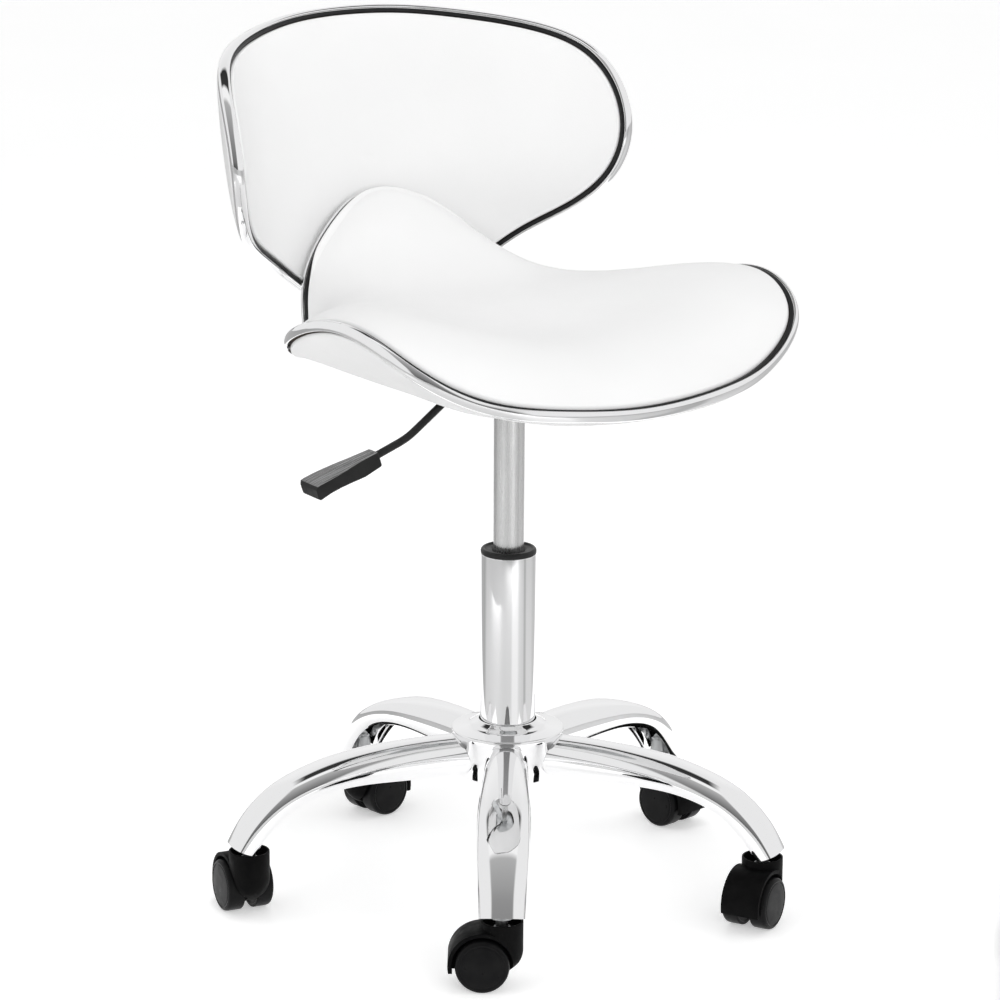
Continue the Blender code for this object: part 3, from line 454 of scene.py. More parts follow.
def combined(name, first, steps, bevel=0.0, angle=30.0):
    """The mesh left after Booleans, each (operation, mesh), and a bevel of the sharp edges."""
    scene = bpy.context.scene.collection
    base = bpy.data.objects.new(name, first)
    scene.objects.link(base)
    helpers = []
    for operation, mesh in steps:
        helper = bpy.data.objects.new(name + "_cutter", mesh)
        scene.objects.link(helper)
        helpers.append(helper)
        modifier = base.modifiers.new(operation, "BOOLEAN")
        modifier.operation = operation
        modifier.object = helper
    if bevel:
        modifier = base.modifiers.new("edges", "BEVEL")
        modifier.width = bevel
        modifier.segments = 2
        modifier.limit_method = "ANGLE"
        modifier.angle_limit = math.radians(angle)
        modifier.harden_normals = False
    bpy.context.view_layer.update()
    graph = bpy.context.evaluated_depsgraph_get()
    result = bpy.data.meshes.new_from_object(base.evaluated_get(graph))
    for obj in (base, *helpers):
        bpy.data.objects.remove(obj, do_unlink=True)
    return result


# Curves and surfaces, as in the CAD source


def spline(points, closed, count):
    """Count points on the cubic spline through the given ones, as the CAD source draws it."""
    points = np.array(points, float)
    if closed:
        points = np.vstack([points, points[:1]])
    steps = np.linalg.norm(np.diff(points, axis=0), axis=1) ** SPLINE_POWER
    knots = np.concatenate([[0], np.cumsum(steps)])
    n = len(points)
    matrix = np.zeros((n, n))
    right = np.zeros((n, points.shape[1]))
    slopes = np.diff(points, axis=0) / steps[:, None]
    for i in range(1, n - 1):
        matrix[i, i - 1] = steps[i - 1]
        matrix[i, i] = 2 * (steps[i - 1] + steps[i])
        matrix[i, i + 1] = steps[i]
        right[i] = 6 * (slopes[i] - slopes[i - 1])
    if closed:
        matrix[0, 0], matrix[0, -1] = 1, -1
        matrix[-1, 0] = 2 * (steps[0] + steps[-1])
        matrix[-1, 1] = steps[0]
        matrix[-1, -2] = steps[-1]
        right[-1] = 6 * (slopes[0] - slopes[-1])
    else:
        matrix[0, 0] = matrix[-1, -1] = 1
    bends = np.linalg.solve(matrix, right)
    at = np.linspace(0, knots[-1], count, endpoint=not closed)
    i = np.clip(np.searchsorted(knots, at, side="right") - 1, 0, n - 2)
    h = steps[i][:, None]
    a = (knots[i + 1] - at)[:, None] / h
    b = 1 - a
    curve = a * points[i] + b * points[i + 1]
    return curve + ((a**3 - a) * bends[i] + (b**3 - b) * bends[i + 1]) * h * h / 6


def mirrored(half):
    return list(half) + [(-p[0], *p[1:]) for p in half[-2:0:-1]]


class SeatSurface:
    """The top of the seat's shell: a spine along the middle that bends to the edge's height."""

    centre = (0.0, 0.0)
    rise = np.array((0.0, 0.0, 1.0))

    def __init__(self):
        fine = spline(mirrored(SEAT_EDGE), True, TURNS * 8)
        right = fine[fine[:, 0] >= 0]
        right = right[np.argsort(right[:, 1])]
        self.edge_y, self.edge_x, self.edge_z = right[:, 1], right[:, 0], right[:, 2]
        self.spine = spline((SEAT_EDGE[0][1:], *SEAT_SPINE, SEAT_EDGE[-1][1:]), False, 600)
        self.outline = fine[::8, :2]

    def point(self, plan):
        x, y = plan[..., 0], plan[..., 1]
        spine = np.interp(y, self.spine[:, 0], self.spine[:, 1])
        half = np.maximum(np.interp(y, self.edge_y, self.edge_x), 0.012)
        edge = np.interp(y, self.edge_y, self.edge_z)
        return np.stack([x, y, spine + (edge - spine) * (np.abs(x) / half) ** 2], axis=-1)


class BackSurface:
    """The front of the backrest's shell: a leaning sheet that is bent round a cylinder."""

    centre = (0.0, BACK_CENTRE_V)
    rise = None

    def __init__(self):
        self.outline = spline(mirrored(BACK_OUTLINE), True, TURNS)

    def point(self, plan):
        along, up = plan[..., 0], plan[..., 1] - BACK_CENTRE_V
        x = np.sin(BACK_BEND * along) / BACK_BEND
        forward = (1 - np.cos(BACK_BEND * along)) / BACK_BEND
        y = BACK_CENTRE_Y + math.sin(BACK_TILT) * up - math.cos(BACK_TILT) * forward
        z = BACK_CENTRE_V + math.cos(BACK_TILT) * up + math.sin(BACK_TILT) * forward
        return np.stack([x, y, z], axis=-1)


def normals(surface, plan):
    step = 0.001
    right = surface.point(plan + (step, 0)) - surface.point(plan - (step, 0))
    ahead = surface.point(plan + (0, step)) - surface.point(plan - (0, step))
    normal = np.cross(right, ahead)
    return normal / np.linalg.norm(normal, axis=-1, keepdims=True)


class Pad:
    """The edge of a sheet, and rings of points over and round it."""

    def __init__(self, surface):
        self.surface = surface
        self.plan = surface.outline
        self.points = surface.point(self.plan)
        self.middle = np.array(surface.centre)
        tangent = np.roll(self.points, -1, 0) - np.roll(self.points, 1, 0)
        tangent /= np.linalg.norm(tangent, axis=1, keepdims=True)
        up = normals(surface, self.middle + (self.plan - self.middle) * 0.96)
        outward = np.cross(tangent, up)
        outward /= np.linalg.norm(outward, axis=1, keepdims=True)
        if np.sum(outward * (self.points - surface.point(self.middle[None])[0])) < 0:
            outward = -outward
        upward = np.cross(outward, tangent)
        upward *= np.sign(np.sum(upward * up, axis=1))[:, None]
        self.outward, self.upward = outward, upward
        spoke = self.points - surface.point(self.middle + (self.plan - self.middle) * 0.98)
        spoke /= np.linalg.norm(spoke, axis=1, keepdims=True)
        self.square = np.clip(np.sum(spoke * outward, axis=1), 0.35, 1)
        self.size = np.linalg.norm(self.plan - self.middle, axis=1)
        steps = np.linalg.norm(np.roll(self.points, -1, 0) - self.points, axis=1)
        self.along = np.concatenate([[0], np.cumsum(steps)[:-1]])
        self.length = steps.sum()

    def rim(self, inset):
        share = 1 - inset / self.square / self.size
        return self.middle + (self.plan - self.middle) * share[:, None]

    def ring(self, plan, square, risen=0.0):
        """Points over plan, so far from it square to the sheet and so far along its rise."""
        up = normals(self.surface, self.middle + (plan - self.middle) * 0.97)
        rise = up if self.surface.rise is None else self.surface.rise
        square = np.broadcast_to(np.asarray(square, float), len(plan))[:, None]
        risen = np.broadcast_to(np.asarray(risen, float), len(plan))[:, None]
        return self.surface.point(plan) + up * square + rise * risen

    def tip(self, square, risen=0.0):
        return self.ring(self.middle[None], square, risen)[0]

    def beside(self, out, up):
        """Points beside the edge, so far outward and upward of it."""
        out = np.broadcast_to(np.asarray(out, float), len(self.plan))[:, None]
        up = np.broadcast_to(np.asarray(up, float), len(self.plan))[:, None]
        return self.points + self.outward * out + self.upward * up

    def spread(self, inset, count, power=1.0, first=0.0):
        """Plan rings from near the middle to a rim, closer together towards the rim."""
        rim = self.rim(inset)
        shares = [1 - (1 - (k + 1) / count) ** power for k in range(count)]
        shares = [first + (1 - first) * s for s in shares]
        return [(s, self.middle + (rim - self.middle) * s) for s in shares]


def skin(name, rings, closed=False, tips=(None, None)):
    """Faces over rings of points. The last ring joins the first, or tips close the ends."""
    per = len(rings[0])
    points = list(np.concatenate(rings))
    faces = []
    count = len(rings)
    for k in range(count if closed else count - 1):
        a, b = k * per, (k + 1) % count * per
        for i in range(per):
            j = (i + 1) % per
            faces.append((a + i, a + j, b + j, b + i))
    for tip, start in zip(tips, (0, (count - 1) * per)):
        if tip is not None:
            points.append(tip)
            faces += [(start + i, start + (i + 1) % per, len(points) - 1) for i in range(per)]
    return mesh_from(name, points, faces)


# Upholstery


CUSHION_RIM = 0.0034
CUSHION_SIDE = -0.0040
CUSHION_INSET = 0.0066
CUSHION_FLOOR = SHELL_TOP + 0.0003
# The roll of the shoulder, and how much more it swells out and up where the foam is full
SHOULDER_RISE = 0.0016
SWELL_OUT = 0.0088
SWELL_UP = 0.0012
# Half of the width of the seat's raised rear crest, how soft its sides end, and where it starts
CREST_HALF = 0.104
CREST_FADE = 0.024
CREST_START = 0.1


def ripple(pad, plan, r, strength, seed):
    """Slight unevenness of foam, and small puckers that fade away from the seam."""
    rng = np.random.default_rng(seed)
    x, y = plan[:, 0], plan[:, 1]
    total = np.zeros(len(plan))
    for _ in range(7):
        kx, ky = rng.normal(0, 16, 2)
        total += rng.normal(0, 1) * np.sin(kx * x + ky * y + rng.uniform(0, math.tau))
    total *= strength * 0.35 * (1 - r**6)
    around = pad.along / pad.length * math.tau
    pucker = np.zeros(len(plan))
    for wave in rng.integers(26, 90, 9):
        pucker += rng.normal(0, 1) * np.sin(wave * around + rng.uniform(0, math.tau))
    near = math.exp(-(((1 - r) / 0.05) ** 2))
    return total + pucker * strength * 0.12 * near * (1 - r) * 18


def cushion(name, pad, crown, rings, seed, flat, power, full_at=None):
    """A crowned pad whose edge rolls down beside the piping. Its underside lies on the shell."""
    found = []
    for r, plan in pad.spread(CUSHION_INSET, rings, 1.45):
        share = r * 0.985
        rise = crown(plan) * (1 - share**power) + ripple(pad, plan, share, flat, seed)
        found.append(pad.ring(plan, CUSHION_RIM, rise))
    # A rounded shoulder from the crown's slope down to the seam beside the piping. Where the foam
    # is full it swells out over the piping.
    start = found[-1]
    full = full_at(pad.points) if full_at else 0.0
    shoulder = pad.beside(
        CUSHION_SIDE + SWELL_OUT * full, CUSHION_RIM + SHOULDER_RISE + SWELL_UP * full
    )
    seam = pad.beside(CUSHION_SIDE - 0.0002, 0.0)
    for t in (0.2, 0.4, 0.6, 0.8, 1.0):
        found.append((1 - t) ** 2 * start + 2 * t * (1 - t) * shoulder + t * t * seam)
    found.append(pad.beside(CUSHION_SIDE - 0.0010, CUSHION_FLOOR))
    found += [pad.ring(plan, CUSHION_FLOOR) for _, plan in reversed(pad.spread(SHELL_INSET, 12))]
    top = pad.tip(CUSHION_RIM, float(crown(pad.middle[None])[0]))
    return skin(name, found, tips=(top, pad.tip(CUSHION_FLOOR)))


def edge_loop(name, pad, section):
    """A cord of (outward, upward) section points all the way round a pad."""
    return skin(name, [pad.beside(o, u) for o, u in section], closed=True)


def smooth_step(share):
    share = np.clip(share, 0, 1)
    return share * share * (3 - 2 * share)


# Sections beside the edge, as millimetres outwards and upwards
TRIM_SECTION = (
    (0.8, 0.3), (1.0, 1.2), (1.5, 1.7), (2.1, 1.6), (2.8, 1.0), (3.6, 0.0), (4.2, -1.4),
    (4.6, -3.2), (4.7, -5.0), (4.4, -6.9), (3.8, -8.2), (3.0, -8.7), (2.2, -8.5), (1.7, -7.8),
    (1.5, -6.0), (1.2, -2.0),
)


def make_edge(pad, name, replaced):
    """Piping, trim and shell round one pad."""
    mesh = edge_loop(name + "_piping_cord", pad, circle(0.0021, 14, (-0.0015, -0.0002)))
    add(name + "_piping_cord", mesh, "black_piping", "seat", [replaced[0]], sharp=None)
    section = rounded([(o / 1000, u / 1000) for o, u in TRIM_SECTION], 0.0006, 3)
    mesh = edge_loop(name + "_chrome_band", pad, section)
    add(name + "_chrome_band", mesh, "chrome", "seat", [replaced[1]], sharp=None)
    low = SHELL_TOP - SHELL_THICK
    rings = [pad.ring(p, SHELL_TOP) for _, p in pad.spread(SHELL_INSET, 14)]
    rings += [pad.ring(pad.rim(0.0006), SHELL_RABBET)]
    rings += [pad.ring(p, low) for _, p in reversed(pad.spread(0.0030, 14))]
    mesh = skin(name + "_ply", rings, tips=(pad.tip(SHELL_TOP), pad.tip(low)))
    add(name + "_ply", mesh, "plywood", "seat", [replaced[2]])


def make_seat():
    pad = Pad(SeatSurface())

    def crown(plan):
        return np.full(len(plan), SEAT_CROWN - CUSHION_RIM)

    def full_at(points):
        crest = (CREST_HALF - np.abs(points[:, 0])) / CREST_FADE * (points[:, 1] > CREST_START)
        return smooth_step(crest)

    mesh = cushion("seat_pad", pad, crown, 60, SEED, 0.0009, 6.5, full_at)
    piece = add("seat_pad", mesh, "white_leather", "seat", ["seat_cushion"], sharp=None)
    make_edge(pad, "seat", ("seat_piping", "seat_trim", "seat_shell"))

    # The cover under the seat: it dips below the shell and has an opening round the column
    top = SHELL_TOP - SHELL_THICK - COVER_GAP
    spread = pad.spread(COVER_INSET, 44, 1.25, SEAT_OPENING)
    bellies = [-SEAT_BELLY * (1 - (r * 0.985) ** 2) for r, _ in spread]
    rings = [pad.ring(plan, top - COVER_RIM, b) for (_, plan), b in zip(spread, bellies)]
    rings.append(pad.beside(-0.0011, top - 0.0013))
    rings.append(pad.beside(-0.0015, top))
    lift = COVER_WALL - COVER_RIM
    inside = [pad.ring(plan, top, min(0, lift + b)) for (_, plan), b in zip(spread, bellies)]
    rings += inside[-2::-1]
    mesh = skin("seat_underside", rings, closed=True)
    slots = [
        ("DIFFERENCE", box_mesh("lever_slot", (-0.105, -0.0075, 0.43), (-0.030, 0.0075, 0.50))),
        ("DIFFERENCE", box_mesh("bar_slot", (-0.0222, 0.030, 0.43), (0.0222, 0.132, 0.5172))),
    ]
    mesh = combined("seat_underside", mesh, slots)
    add("seat_underside", mesh, "white_cover", "seat", ["seat_under_cover"], sharp=50)


def make_back():
    pad = Pad(BackSurface())

    def crown(plan):
        # Thinner low down, where the seat's rear edge passes close in front
        return (BACK_CROWN - CUSHION_RIM) * (0.6 + 0.4 * smooth_step((plan[:, 1] - 0.50) / 0.13))

    mesh = cushion("back_pad", pad, crown, 50, SEED + 1, 0.0006, 5.0)
    piece = add("back_pad", mesh, "white_leather", "seat", ["back_cushion"], sharp=None)
    make_edge(pad, "back", ("back_piping", "back_trim", "back_shell"))

    top = SHELL_TOP - SHELL_THICK - COVER_GAP
    rings = []
    for r, plan in pad.spread(COVER_INSET, 36, 1.2):
        rings.append(pad.ring(plan, top - COVER_RIM, (COVER_RIM - COVER_DEPTH) * (1 - r**5)))
    rings.append(pad.beside(-0.0010, top - 0.0013))
    rings.append(pad.beside(-0.0014, top))
    rings += [pad.ring(plan, top) for _, plan in reversed(pad.spread(0.0022, 12))]
    mesh = skin("back_panel", rings, tips=(pad.tip(top - COVER_DEPTH), pad.tip(top)))
    holes = [("DIFFERENCE", screw_hole(z, 0.0040, -0.010, 0.030)) for z in BAR_SCREWS]
    mesh = combined("back_panel", mesh, holes)
    add("back_panel", mesh, "white_cover", "seat", ["back_cover"], sharp=50)


# Back bar

BAR_LINE = (
    (0.030, 0.4955),
    (0.085, 0.4955),
    (0.130, 0.4900),
    (0.204, 0.4880),
    (0.2210, 0.4897),
    (0.2314, 0.4960),
    (0.2376, 0.5060),
    (0.2467, 0.5400),
    (0.2798, 0.6680),
)
BAR_SCREWS = (0.600, 0.640)
BAR_THICK = 0.005


def screw_axis(height):
    (y0, z0), (y1, z1) = BAR_LINE[-2:]
    run = Vector((0, y1 - y0, z1 - z0)).normalized()
    forward = Vector((0, -run.z, run.y))
    return Vector((0, y0 + (y1 - y0) * (height - z0) / (z1 - z0), height)), forward


def screw_hole(height, radius, start, end):
    place, forward = screw_axis(height)
    return rod_mesh("hole", radius, place + forward * start, place + forward * end, 32)


def make_bar():
    line = [(0, y, z) for y, z in BAR_LINE]
    path = rounded(line, 0.016, 8, closed=False)
    half, thick = 0.020, BAR_THICK / 2
    outline = rounded(((-half, -thick), (half, -thick), (half, thick), (-half, thick)), 0.0012, 3)
    mesh = swept("back_bar_strap", path, outline, upward=(0, -0.6, 0.8))
    holes = [("DIFFERENCE", screw_hole(z, 0.0033, -0.012, 0.012)) for z in BAR_SCREWS]
    mesh = combined("back_bar_strap", mesh, holes)
    add("back_bar_strap", mesh, "zinc_steel", "seat", ["back_bar"], sharp=35)
    for z, name in zip(BAR_SCREWS, ("lower", "upper")):
        place, forward = screw_axis(z)
        turn = forward.to_track_quat("Z", "Y").to_matrix().to_4x4()
        head = -BAR_THICK / 2 - 0.0002
        profile = ((0, head - 0.0014), (0.0016, head - 0.0014), (0.0017, head - 0.0029),
                   (0.0030, head - 0.0030), (0.0050, head - 0.0020), (0.0060, head - 0.0006),
                   (0.0060, head), (0.0030, head), (0.0030, 0.0150), (0, 0.0152))
        mesh = turned("bar_screw_" + name, profile, 32)
        matrix = Matrix.Translation(place) @ turn
        add("bar_screw_" + name, mesh, "zinc_steel", "seat",
            ["back_bar_screw_" + name], 30, matrix)


# Base


def hub_radius(height):
    return float(np.interp(height, HUB_FLARE, HUB_RADII))


def make_hub():
    tube = float(np.interp(HUB_BOTTOM, (TUBE_BOTTOM, TUBE_FULL), TUBE_RADII))
    corners = (
        (tube + 0.0003, HUB_BOTTOM),
        (HUB_RADII[0], HUB_BOTTOM),
        (HUB_RADII[0], HUB_FLARE[0]),
        (HUB_RADII[1], HUB_FLARE[1]),
        (HUB_RADII[1], 0.1560),
        (0.0365, 0.1583),
        (0.0325, 0.1612),
        (0.0276, 0.1636),
        (0.0266, 0.1643),
        (0.0260, 0.1637),
        (0.0259, 0.1600),
        (0.0253, 0.1590),
    )
    radii = (0, 0.0012, 0.006, 0.0012, 0.0016, 0.003, 0.002, 0.0005, 0.0004, 0.0003, 0, 0)
    profile = rounded(corners, radii, 5)
    add("hub_casting", turned("hub_casting", profile, 96), "chrome", "base", ["hub"], 50)


# Along a leg: (distance from the axis, height), width, depth, half angle of the slot below
LEG_STATIONS = (
    ((0.0500, 0.1335), 0.0390, 0.0365, 4),
    ((0.0850, 0.1325), 0.0410, 0.0365, 4),
    ((0.1220, 0.1310), 0.0445, 0.0330, 8),
    ((0.1580, 0.1270), 0.0470, 0.0285, 25),
    ((0.1900, 0.1180), 0.0470, 0.0255, 42),
    ((0.2140, 0.1055), 0.0460, 0.0255, 50),
    ((0.2330, 0.0880), 0.0440, 0.0265, 52),
    ((0.2440, 0.0740), 0.0420, 0.0265, 52),
    ((0.2495, 0.0665), 0.0410, 0.0260, 52),
)
LEG_SHARES = np.array((1, 1, 1e-3, 1e-3, 1e-6))
LEG_TIP_LOWEST = 0.0610
LEG_TIP_REACH = 0.020
LEG_TIP_DROOP = (0.0019, -0.0059)
LEG_WALL = 0.0022
LEG_LIP_BULGE = math.radians(1.2)
LEG_POINTS = 44
LEG_SQUARENESS = 2.4


def leg_section(width, depth, slot):
    """(across, up) points: the outside, a rounded lip, the inside, and the other lip."""
    power = 2 / LEG_SQUARENESS

    def at(angle, wall):
        cosine, sine = math.cos(angle), math.sin(angle)
        return (math.copysign(abs(cosine) ** power, cosine) * (width / 2 - wall),
                math.copysign(abs(sine) ** power, sine) * (depth / 2 - wall))

    angles = np.radians(np.linspace(-90 + slot, 270 - slot, LEG_POINTS))
    found = [at(a, 0) for a in angles]
    for share in (0.25, 0.5, 0.75):
        shift = math.sin(math.pi * share) * LEG_LIP_BULGE
        found.append(at(angles[-1] + shift, LEG_WALL * share))
    found += [at(a, LEG_WALL) for a in angles[::-1]]
    for share in (0.75, 0.5, 0.25):
        shift = math.sin(math.pi * share) * LEG_LIP_BULGE
        found.append(at(angles[0] - shift, LEG_WALL * share))
    return found


def leg_mesh():
    # The shares keep the section's sizes from bending the path
    table = np.array([(*place, *sizes) for place, *sizes in LEG_STATIONS]) * LEG_SHARES
    fine = spline(table, False, 56) / LEG_SHARES
    vertices = []
    for k, (radius, height, width, depth, slot) in enumerate(fine):
        low, high = max(k - 1, 0), min(k + 1, len(fine) - 1)
        along = fine[high, :2] - fine[low, :2]
        along /= np.linalg.norm(along)
        upward = np.array([-along[1], along[0]])
        section = leg_section(width, depth, max(slot, 1.0))
        per = len(section)
        gone = np.linalg.norm(fine[-1, :2] - fine[k, :2])
        droop = max(0, 1 - gone / LEG_TIP_REACH) ** 2
        for across, up in section:
            r, z = np.array((radius, height)) + upward * up
            r += LEG_TIP_DROOP[0] * droop * (0.5 + up / depth)
            z += LEG_TIP_DROOP[1] * droop * (0.5 + up / depth)
            vertices.append([r, across, max(z, LEG_TIP_LOWEST)])
    for vertex in vertices[:per]:
        reach = hub_radius(vertex[2]) + 0.0001
        vertex[0] = math.sqrt(reach**2 - vertex[1] ** 2)
    faces = []
    count = len(fine)
    for k in range(count - 1):
        for i in range(per):
            j = (i + 1) % per
            faces.append((k * per + i, k * per + j, (k + 1) * per + j, (k + 1) * per + i))
    half = LEG_POINTS
    last = 2 * half + 2
    end = [(i, i + 1, last - 1 - i, last - i) for i in range(half - 1)]
    end.append(tuple(range(half - 1, half + 4)))
    end.append((0, *range(last, last + 4)))
    for start in (0, (count - 1) * per):
        faces += [tuple(start + i for i in face) for face in end]
    return mesh_from("leg_tube", vertices, faces)


def housing_mesh():
    """A castor housing, with its stem on the local Z axis and its wheels towards +X."""
    axle = Vector((TRAIL, 0, WHEEL_RADIUS))
    across = Vector((0, 1, 0))
    hood = rod_mesh("hood", HOOD_RADIUS, axle - across * HOOD_HALF, axle + across * HOOD_HALF, 96)
    neck = turned("neck", rounded((
        (0, 0.0120), (0.0060, 0.0140), (0.0110, 0.0180), (0.0158, 0.0230), (NECK_RADIUS, 0.0300),
        (NECK_RADIUS, CUP_TOP), (0, CUP_TOP)), (0, 0.003, 0.003, 0.003, 0.006, 0.0006, 0), 5), 72)
    wells = []
    for side in (-1, 1):
        out = across * side
        wells.append(rod_mesh("well", HOOD_INNER, axle + out * WEB_HALF, axle + out * 0.04, 88))
    front = box_mesh("front", (-0.04, -0.04, -0.02), (0, 0.04, 0.070))
    under = box_mesh("under", (-0.001, -0.04, -0.02), (TRAIL, 0.04, 0.0120))
    tail = box_mesh("tail", (TRAIL - 0.004, -0.04, -0.02), (TRAIL + 0.04, 0.04, 0.0172))
    cup = turned("cup", ((0, CUP_FLOOR), (0.0168, CUP_FLOOR), (0.0170, 0.070), (0, 0.070)), 64)
    bore = rod_mesh("bore", 0.0041, (0, 0, 0.0362), (0, 0, 0.070), 32)
    pin = rod_mesh("pin", 0.0033, axle - across * 0.04, axle + across * 0.04, 32)
    steps = [("DIFFERENCE", front), ("DIFFERENCE", under), ("UNION", neck)]
    steps += [("DIFFERENCE", m) for m in (*wells, tail, cup, bore, pin)]
    return combined("housing", hood, steps, bevel=0.0005, angle=35)


def wheel_mesh():
    """A wheel on the local Z axis, its inner face at z = 0 and its domed disc outwards."""
    wide = WHEEL_WIDTH
    corners = (
        (0, 0.0130), (0.0033, 0.0130), (0.0033, 0.0), (0.0145, 0.0), (0.0155, 0.0010),
        (0.0204, 0.0010), (0.0210, 0.0), (0.0233, 0.0), (0.0237, 0.0006), (0.0237, 0.0128),
        (0.0228, 0.0150), (0.0204, 0.0159), (0.0199, 0.0154), (0.0191, 0.0154),
        (0.0182, 0.0158), (0.0120, wide - 0.0001), (0, wide),
    )
    radii = (0, 0, 0, 0.0004, 0.0003, 0.0003, 0.0004, 0.0004, 0.0006, 0.0022, 0.0022, 0.0010,
             0.0003, 0.0004, 0.0006, 0.004, 0)
    return turned("wheel", rounded(corners, radii, 4), 72)


def socket_mesh():
    corners = ((0.0058, 0.0625), (0.0105, 0.0625), (0.0098, 0.0665), (0.0082, 0.0690),
               (0.0074, 0.0800), (0.0058, 0.0805))
    return turned("socket", rounded(corners, (0, 0.0006, 0.001, 0.001, 0.0006, 0), 3), 40)


def stem_mesh():
    corners = (
        (0, 0.0366), (0.0038, 0.0366), (0.0038, CUP_FLOOR + 0.0003), (0.0075, CUP_FLOOR + 0.0003),
        (0.0075, CUP_FLOOR + 0.0020), (0.0055, CUP_FLOOR + 0.0020), (0.0055, 0.0808),
        (0.0050, 0.0826), (0.0036, 0.0838), (0, 0.0844),
    )
    radii = (0, 0.0005, 0, 0.0003, 0.0003, 0.0003, 0.0004, 0.001, 0.001, 0)
    return turned("stem", rounded(corners, radii, 3), 40)


def make_base():
    make_hub()
    leg, socket, stem = leg_mesh(), socket_mesh(), stem_mesh()
    housing, wheel = housing_mesh(), wheel_mesh()
    reach = WHEEL_INNER + 0.0125
    axle = turned("axle", rounded(((0, -reach), (0.003, -reach), (0.003, reach), (0, reach)),
                                  (0, 0.0005, 0.0005, 0), 3), 28)
    for k in range(LEGS):
        number = str(k + 1)
        arm = Matrix.Rotation(math.radians(FIRST_LEG_ANGLE + 360 / LEGS * k - 90), 4, "Z")
        tip = arm @ Matrix.Translation((STEM_RADIUS, 0, 0))
        add("leg_tube_" + number, leg.copy(), "chrome", "base", ["leg_" + number], 50, arm)
        add("stem_socket_" + number, socket.copy(), "zinc_steel", "base",
            ["leg_socket_" + number], 40, tip)
        add("stem_pin_" + number, stem.copy(), "zinc_steel", "base",
            ["caster_stem_" + number], 40, tip)
        swivel = Matrix.Translation(tip.to_translation())
        swivel = swivel @ Matrix.Rotation(math.radians(SWIVEL_ANGLES[k] - 90), 4, "Z")
        body = "caster_" + number
        add("caster_hood_" + number, housing.copy(), "black_nylon", body,
            ["caster_housing_" + number], 38, swivel)
        spindle = swivel @ Matrix.Translation((TRAIL, 0, WHEEL_RADIUS))
        across = Matrix.Rotation(math.pi / 2, 4, "X")
        add("caster_spindle_" + number, axle.copy(), "zinc_steel", body,
            ["caster_axle_" + number], 40, spindle @ across)
        for side, name in ((1, "left"), (-1, "right")):
            face = spindle @ Matrix.Translation((0, side * WHEEL_INNER, 0))
            face = face @ Matrix.Rotation(-side * math.pi / 2, 4, "X")
            wheel_body = f"wheel_{number}_{name}"
            add(wheel_body, wheel.copy(), "wheel_black", wheel_body,
                ["caster_" + wheel_body], 40, face)


# Column


# The turned pieces: name, CAD node, slot, body, points round, points in a rounded corner and
# sharp angle, then each corner's radius, height and rounding
COLUMN = (
    ("stand_tube", "outer_tube", "chrome", "base", 96, 3, 50, (
        (0.0054, TUBE_BOTTOM, 0), (TUBE_RADII[0], TUBE_BOTTOM, 0.001),
        (TUBE_RADII[1], TUBE_FULL, 0), (TUBE_RADII[1], TUBE_TOP, 0.0006),
        (0.0235, TUBE_TOP, 0.0004), (0.0235, TUBE_FULL, 0), (0.0223, 0.111, 0),
        (0.0054, 0.111, 0))),
    ("tube_bush", "guide_bush", "black_plastic", "base", 96, 5, 50, (
        (0.0144, 0.272, 0), (0.0232, 0.272, 0.0005), (0.0232, 0.3202, 0),
        (0.0251, 0.3202, 0.0005), (0.0253, 0.3232, 0.0012), (0.0238, 0.3250, 0.0008),
        (0.0222, 0.3250, 0.0006), (0.0212, 0.3236, 0.0006), (0.0165, 0.3236, 0.001),
        (0.0144, 0.3224, 0.0004))),
    ("bearing_ring", "thrust_bearing", "zinc_steel", "base", 48, 3, 40, (
        (0.0054, 0.1114, 0.0005), (0.0120, 0.1114, 0.0005), (0.0120, 0.1154, 0.0005),
        (0.0054, 0.1154, 0.0005))),
    ("clip_ring", "retaining_clip", "zinc_steel", "base", 48, 3, 40, (
        (0.0042, 0.1062, 0.0003), (0.0085, 0.1062, 0.0003), (0.0085, 0.1075, 0.0003),
        (0.0042, 0.1075, 0.0003))),
    ("lift_rod", "piston_rod", "zinc_steel", "piston", 48, 3, 40, (
        (0, 0.1045, 0), (0.0050, 0.1045, 0.0008), (0.0050, 0.1058, 0.0003),
        (0.0038, 0.1058, 0), (0.0038, 0.1080, 0), (0.0050, 0.1080, 0.0003),
        (0.0050, 0.3350, 0), (0.0120, 0.3350, 0.0006), (0.0120, 0.3480, 0.0006),
        (0, 0.3480, 0))),
    ("lift_cylinder", "gas_cylinder", "brushed_steel", "seat", 96, 4, 50, (
        (0.0053, 0.236, 0), (0.0140, 0.236, 0.0012), (0.0140, 0.455, 0),
        (0.0133, 0.481, 0.0008), (0.0125, 0.482, 0.0005), (0.0033, 0.482, 0),
        (0.0033, 0.470, 0), (0.0123, 0.470, 0), (0.0123, 0.244, 0), (0.0053, 0.244, 0))),
    ("valve_button", "valve_pin", "zinc_steel", "valve", 32, 4, 40, (
        (0, 0.466, 0), (0.003, 0.466, 0), (0.003, 0.486, 0.0008), (0, 0.486, 0))),
)


def make_column():
    for name, cad_node, slot, body, steps, curve, sharp, corners in COLUMN:
        profile = rounded([c[:2] for c in corners], [c[2] for c in corners], curve)
        add(name, turned(name, profile, steps), slot, body, [cad_node], sharp)


# Seat mount and lever


PLATE_HALF = 0.070
PLATE_HEIGHTS = (0.4983, 0.5008)
PLATE_SCREW_REACH = 0.058


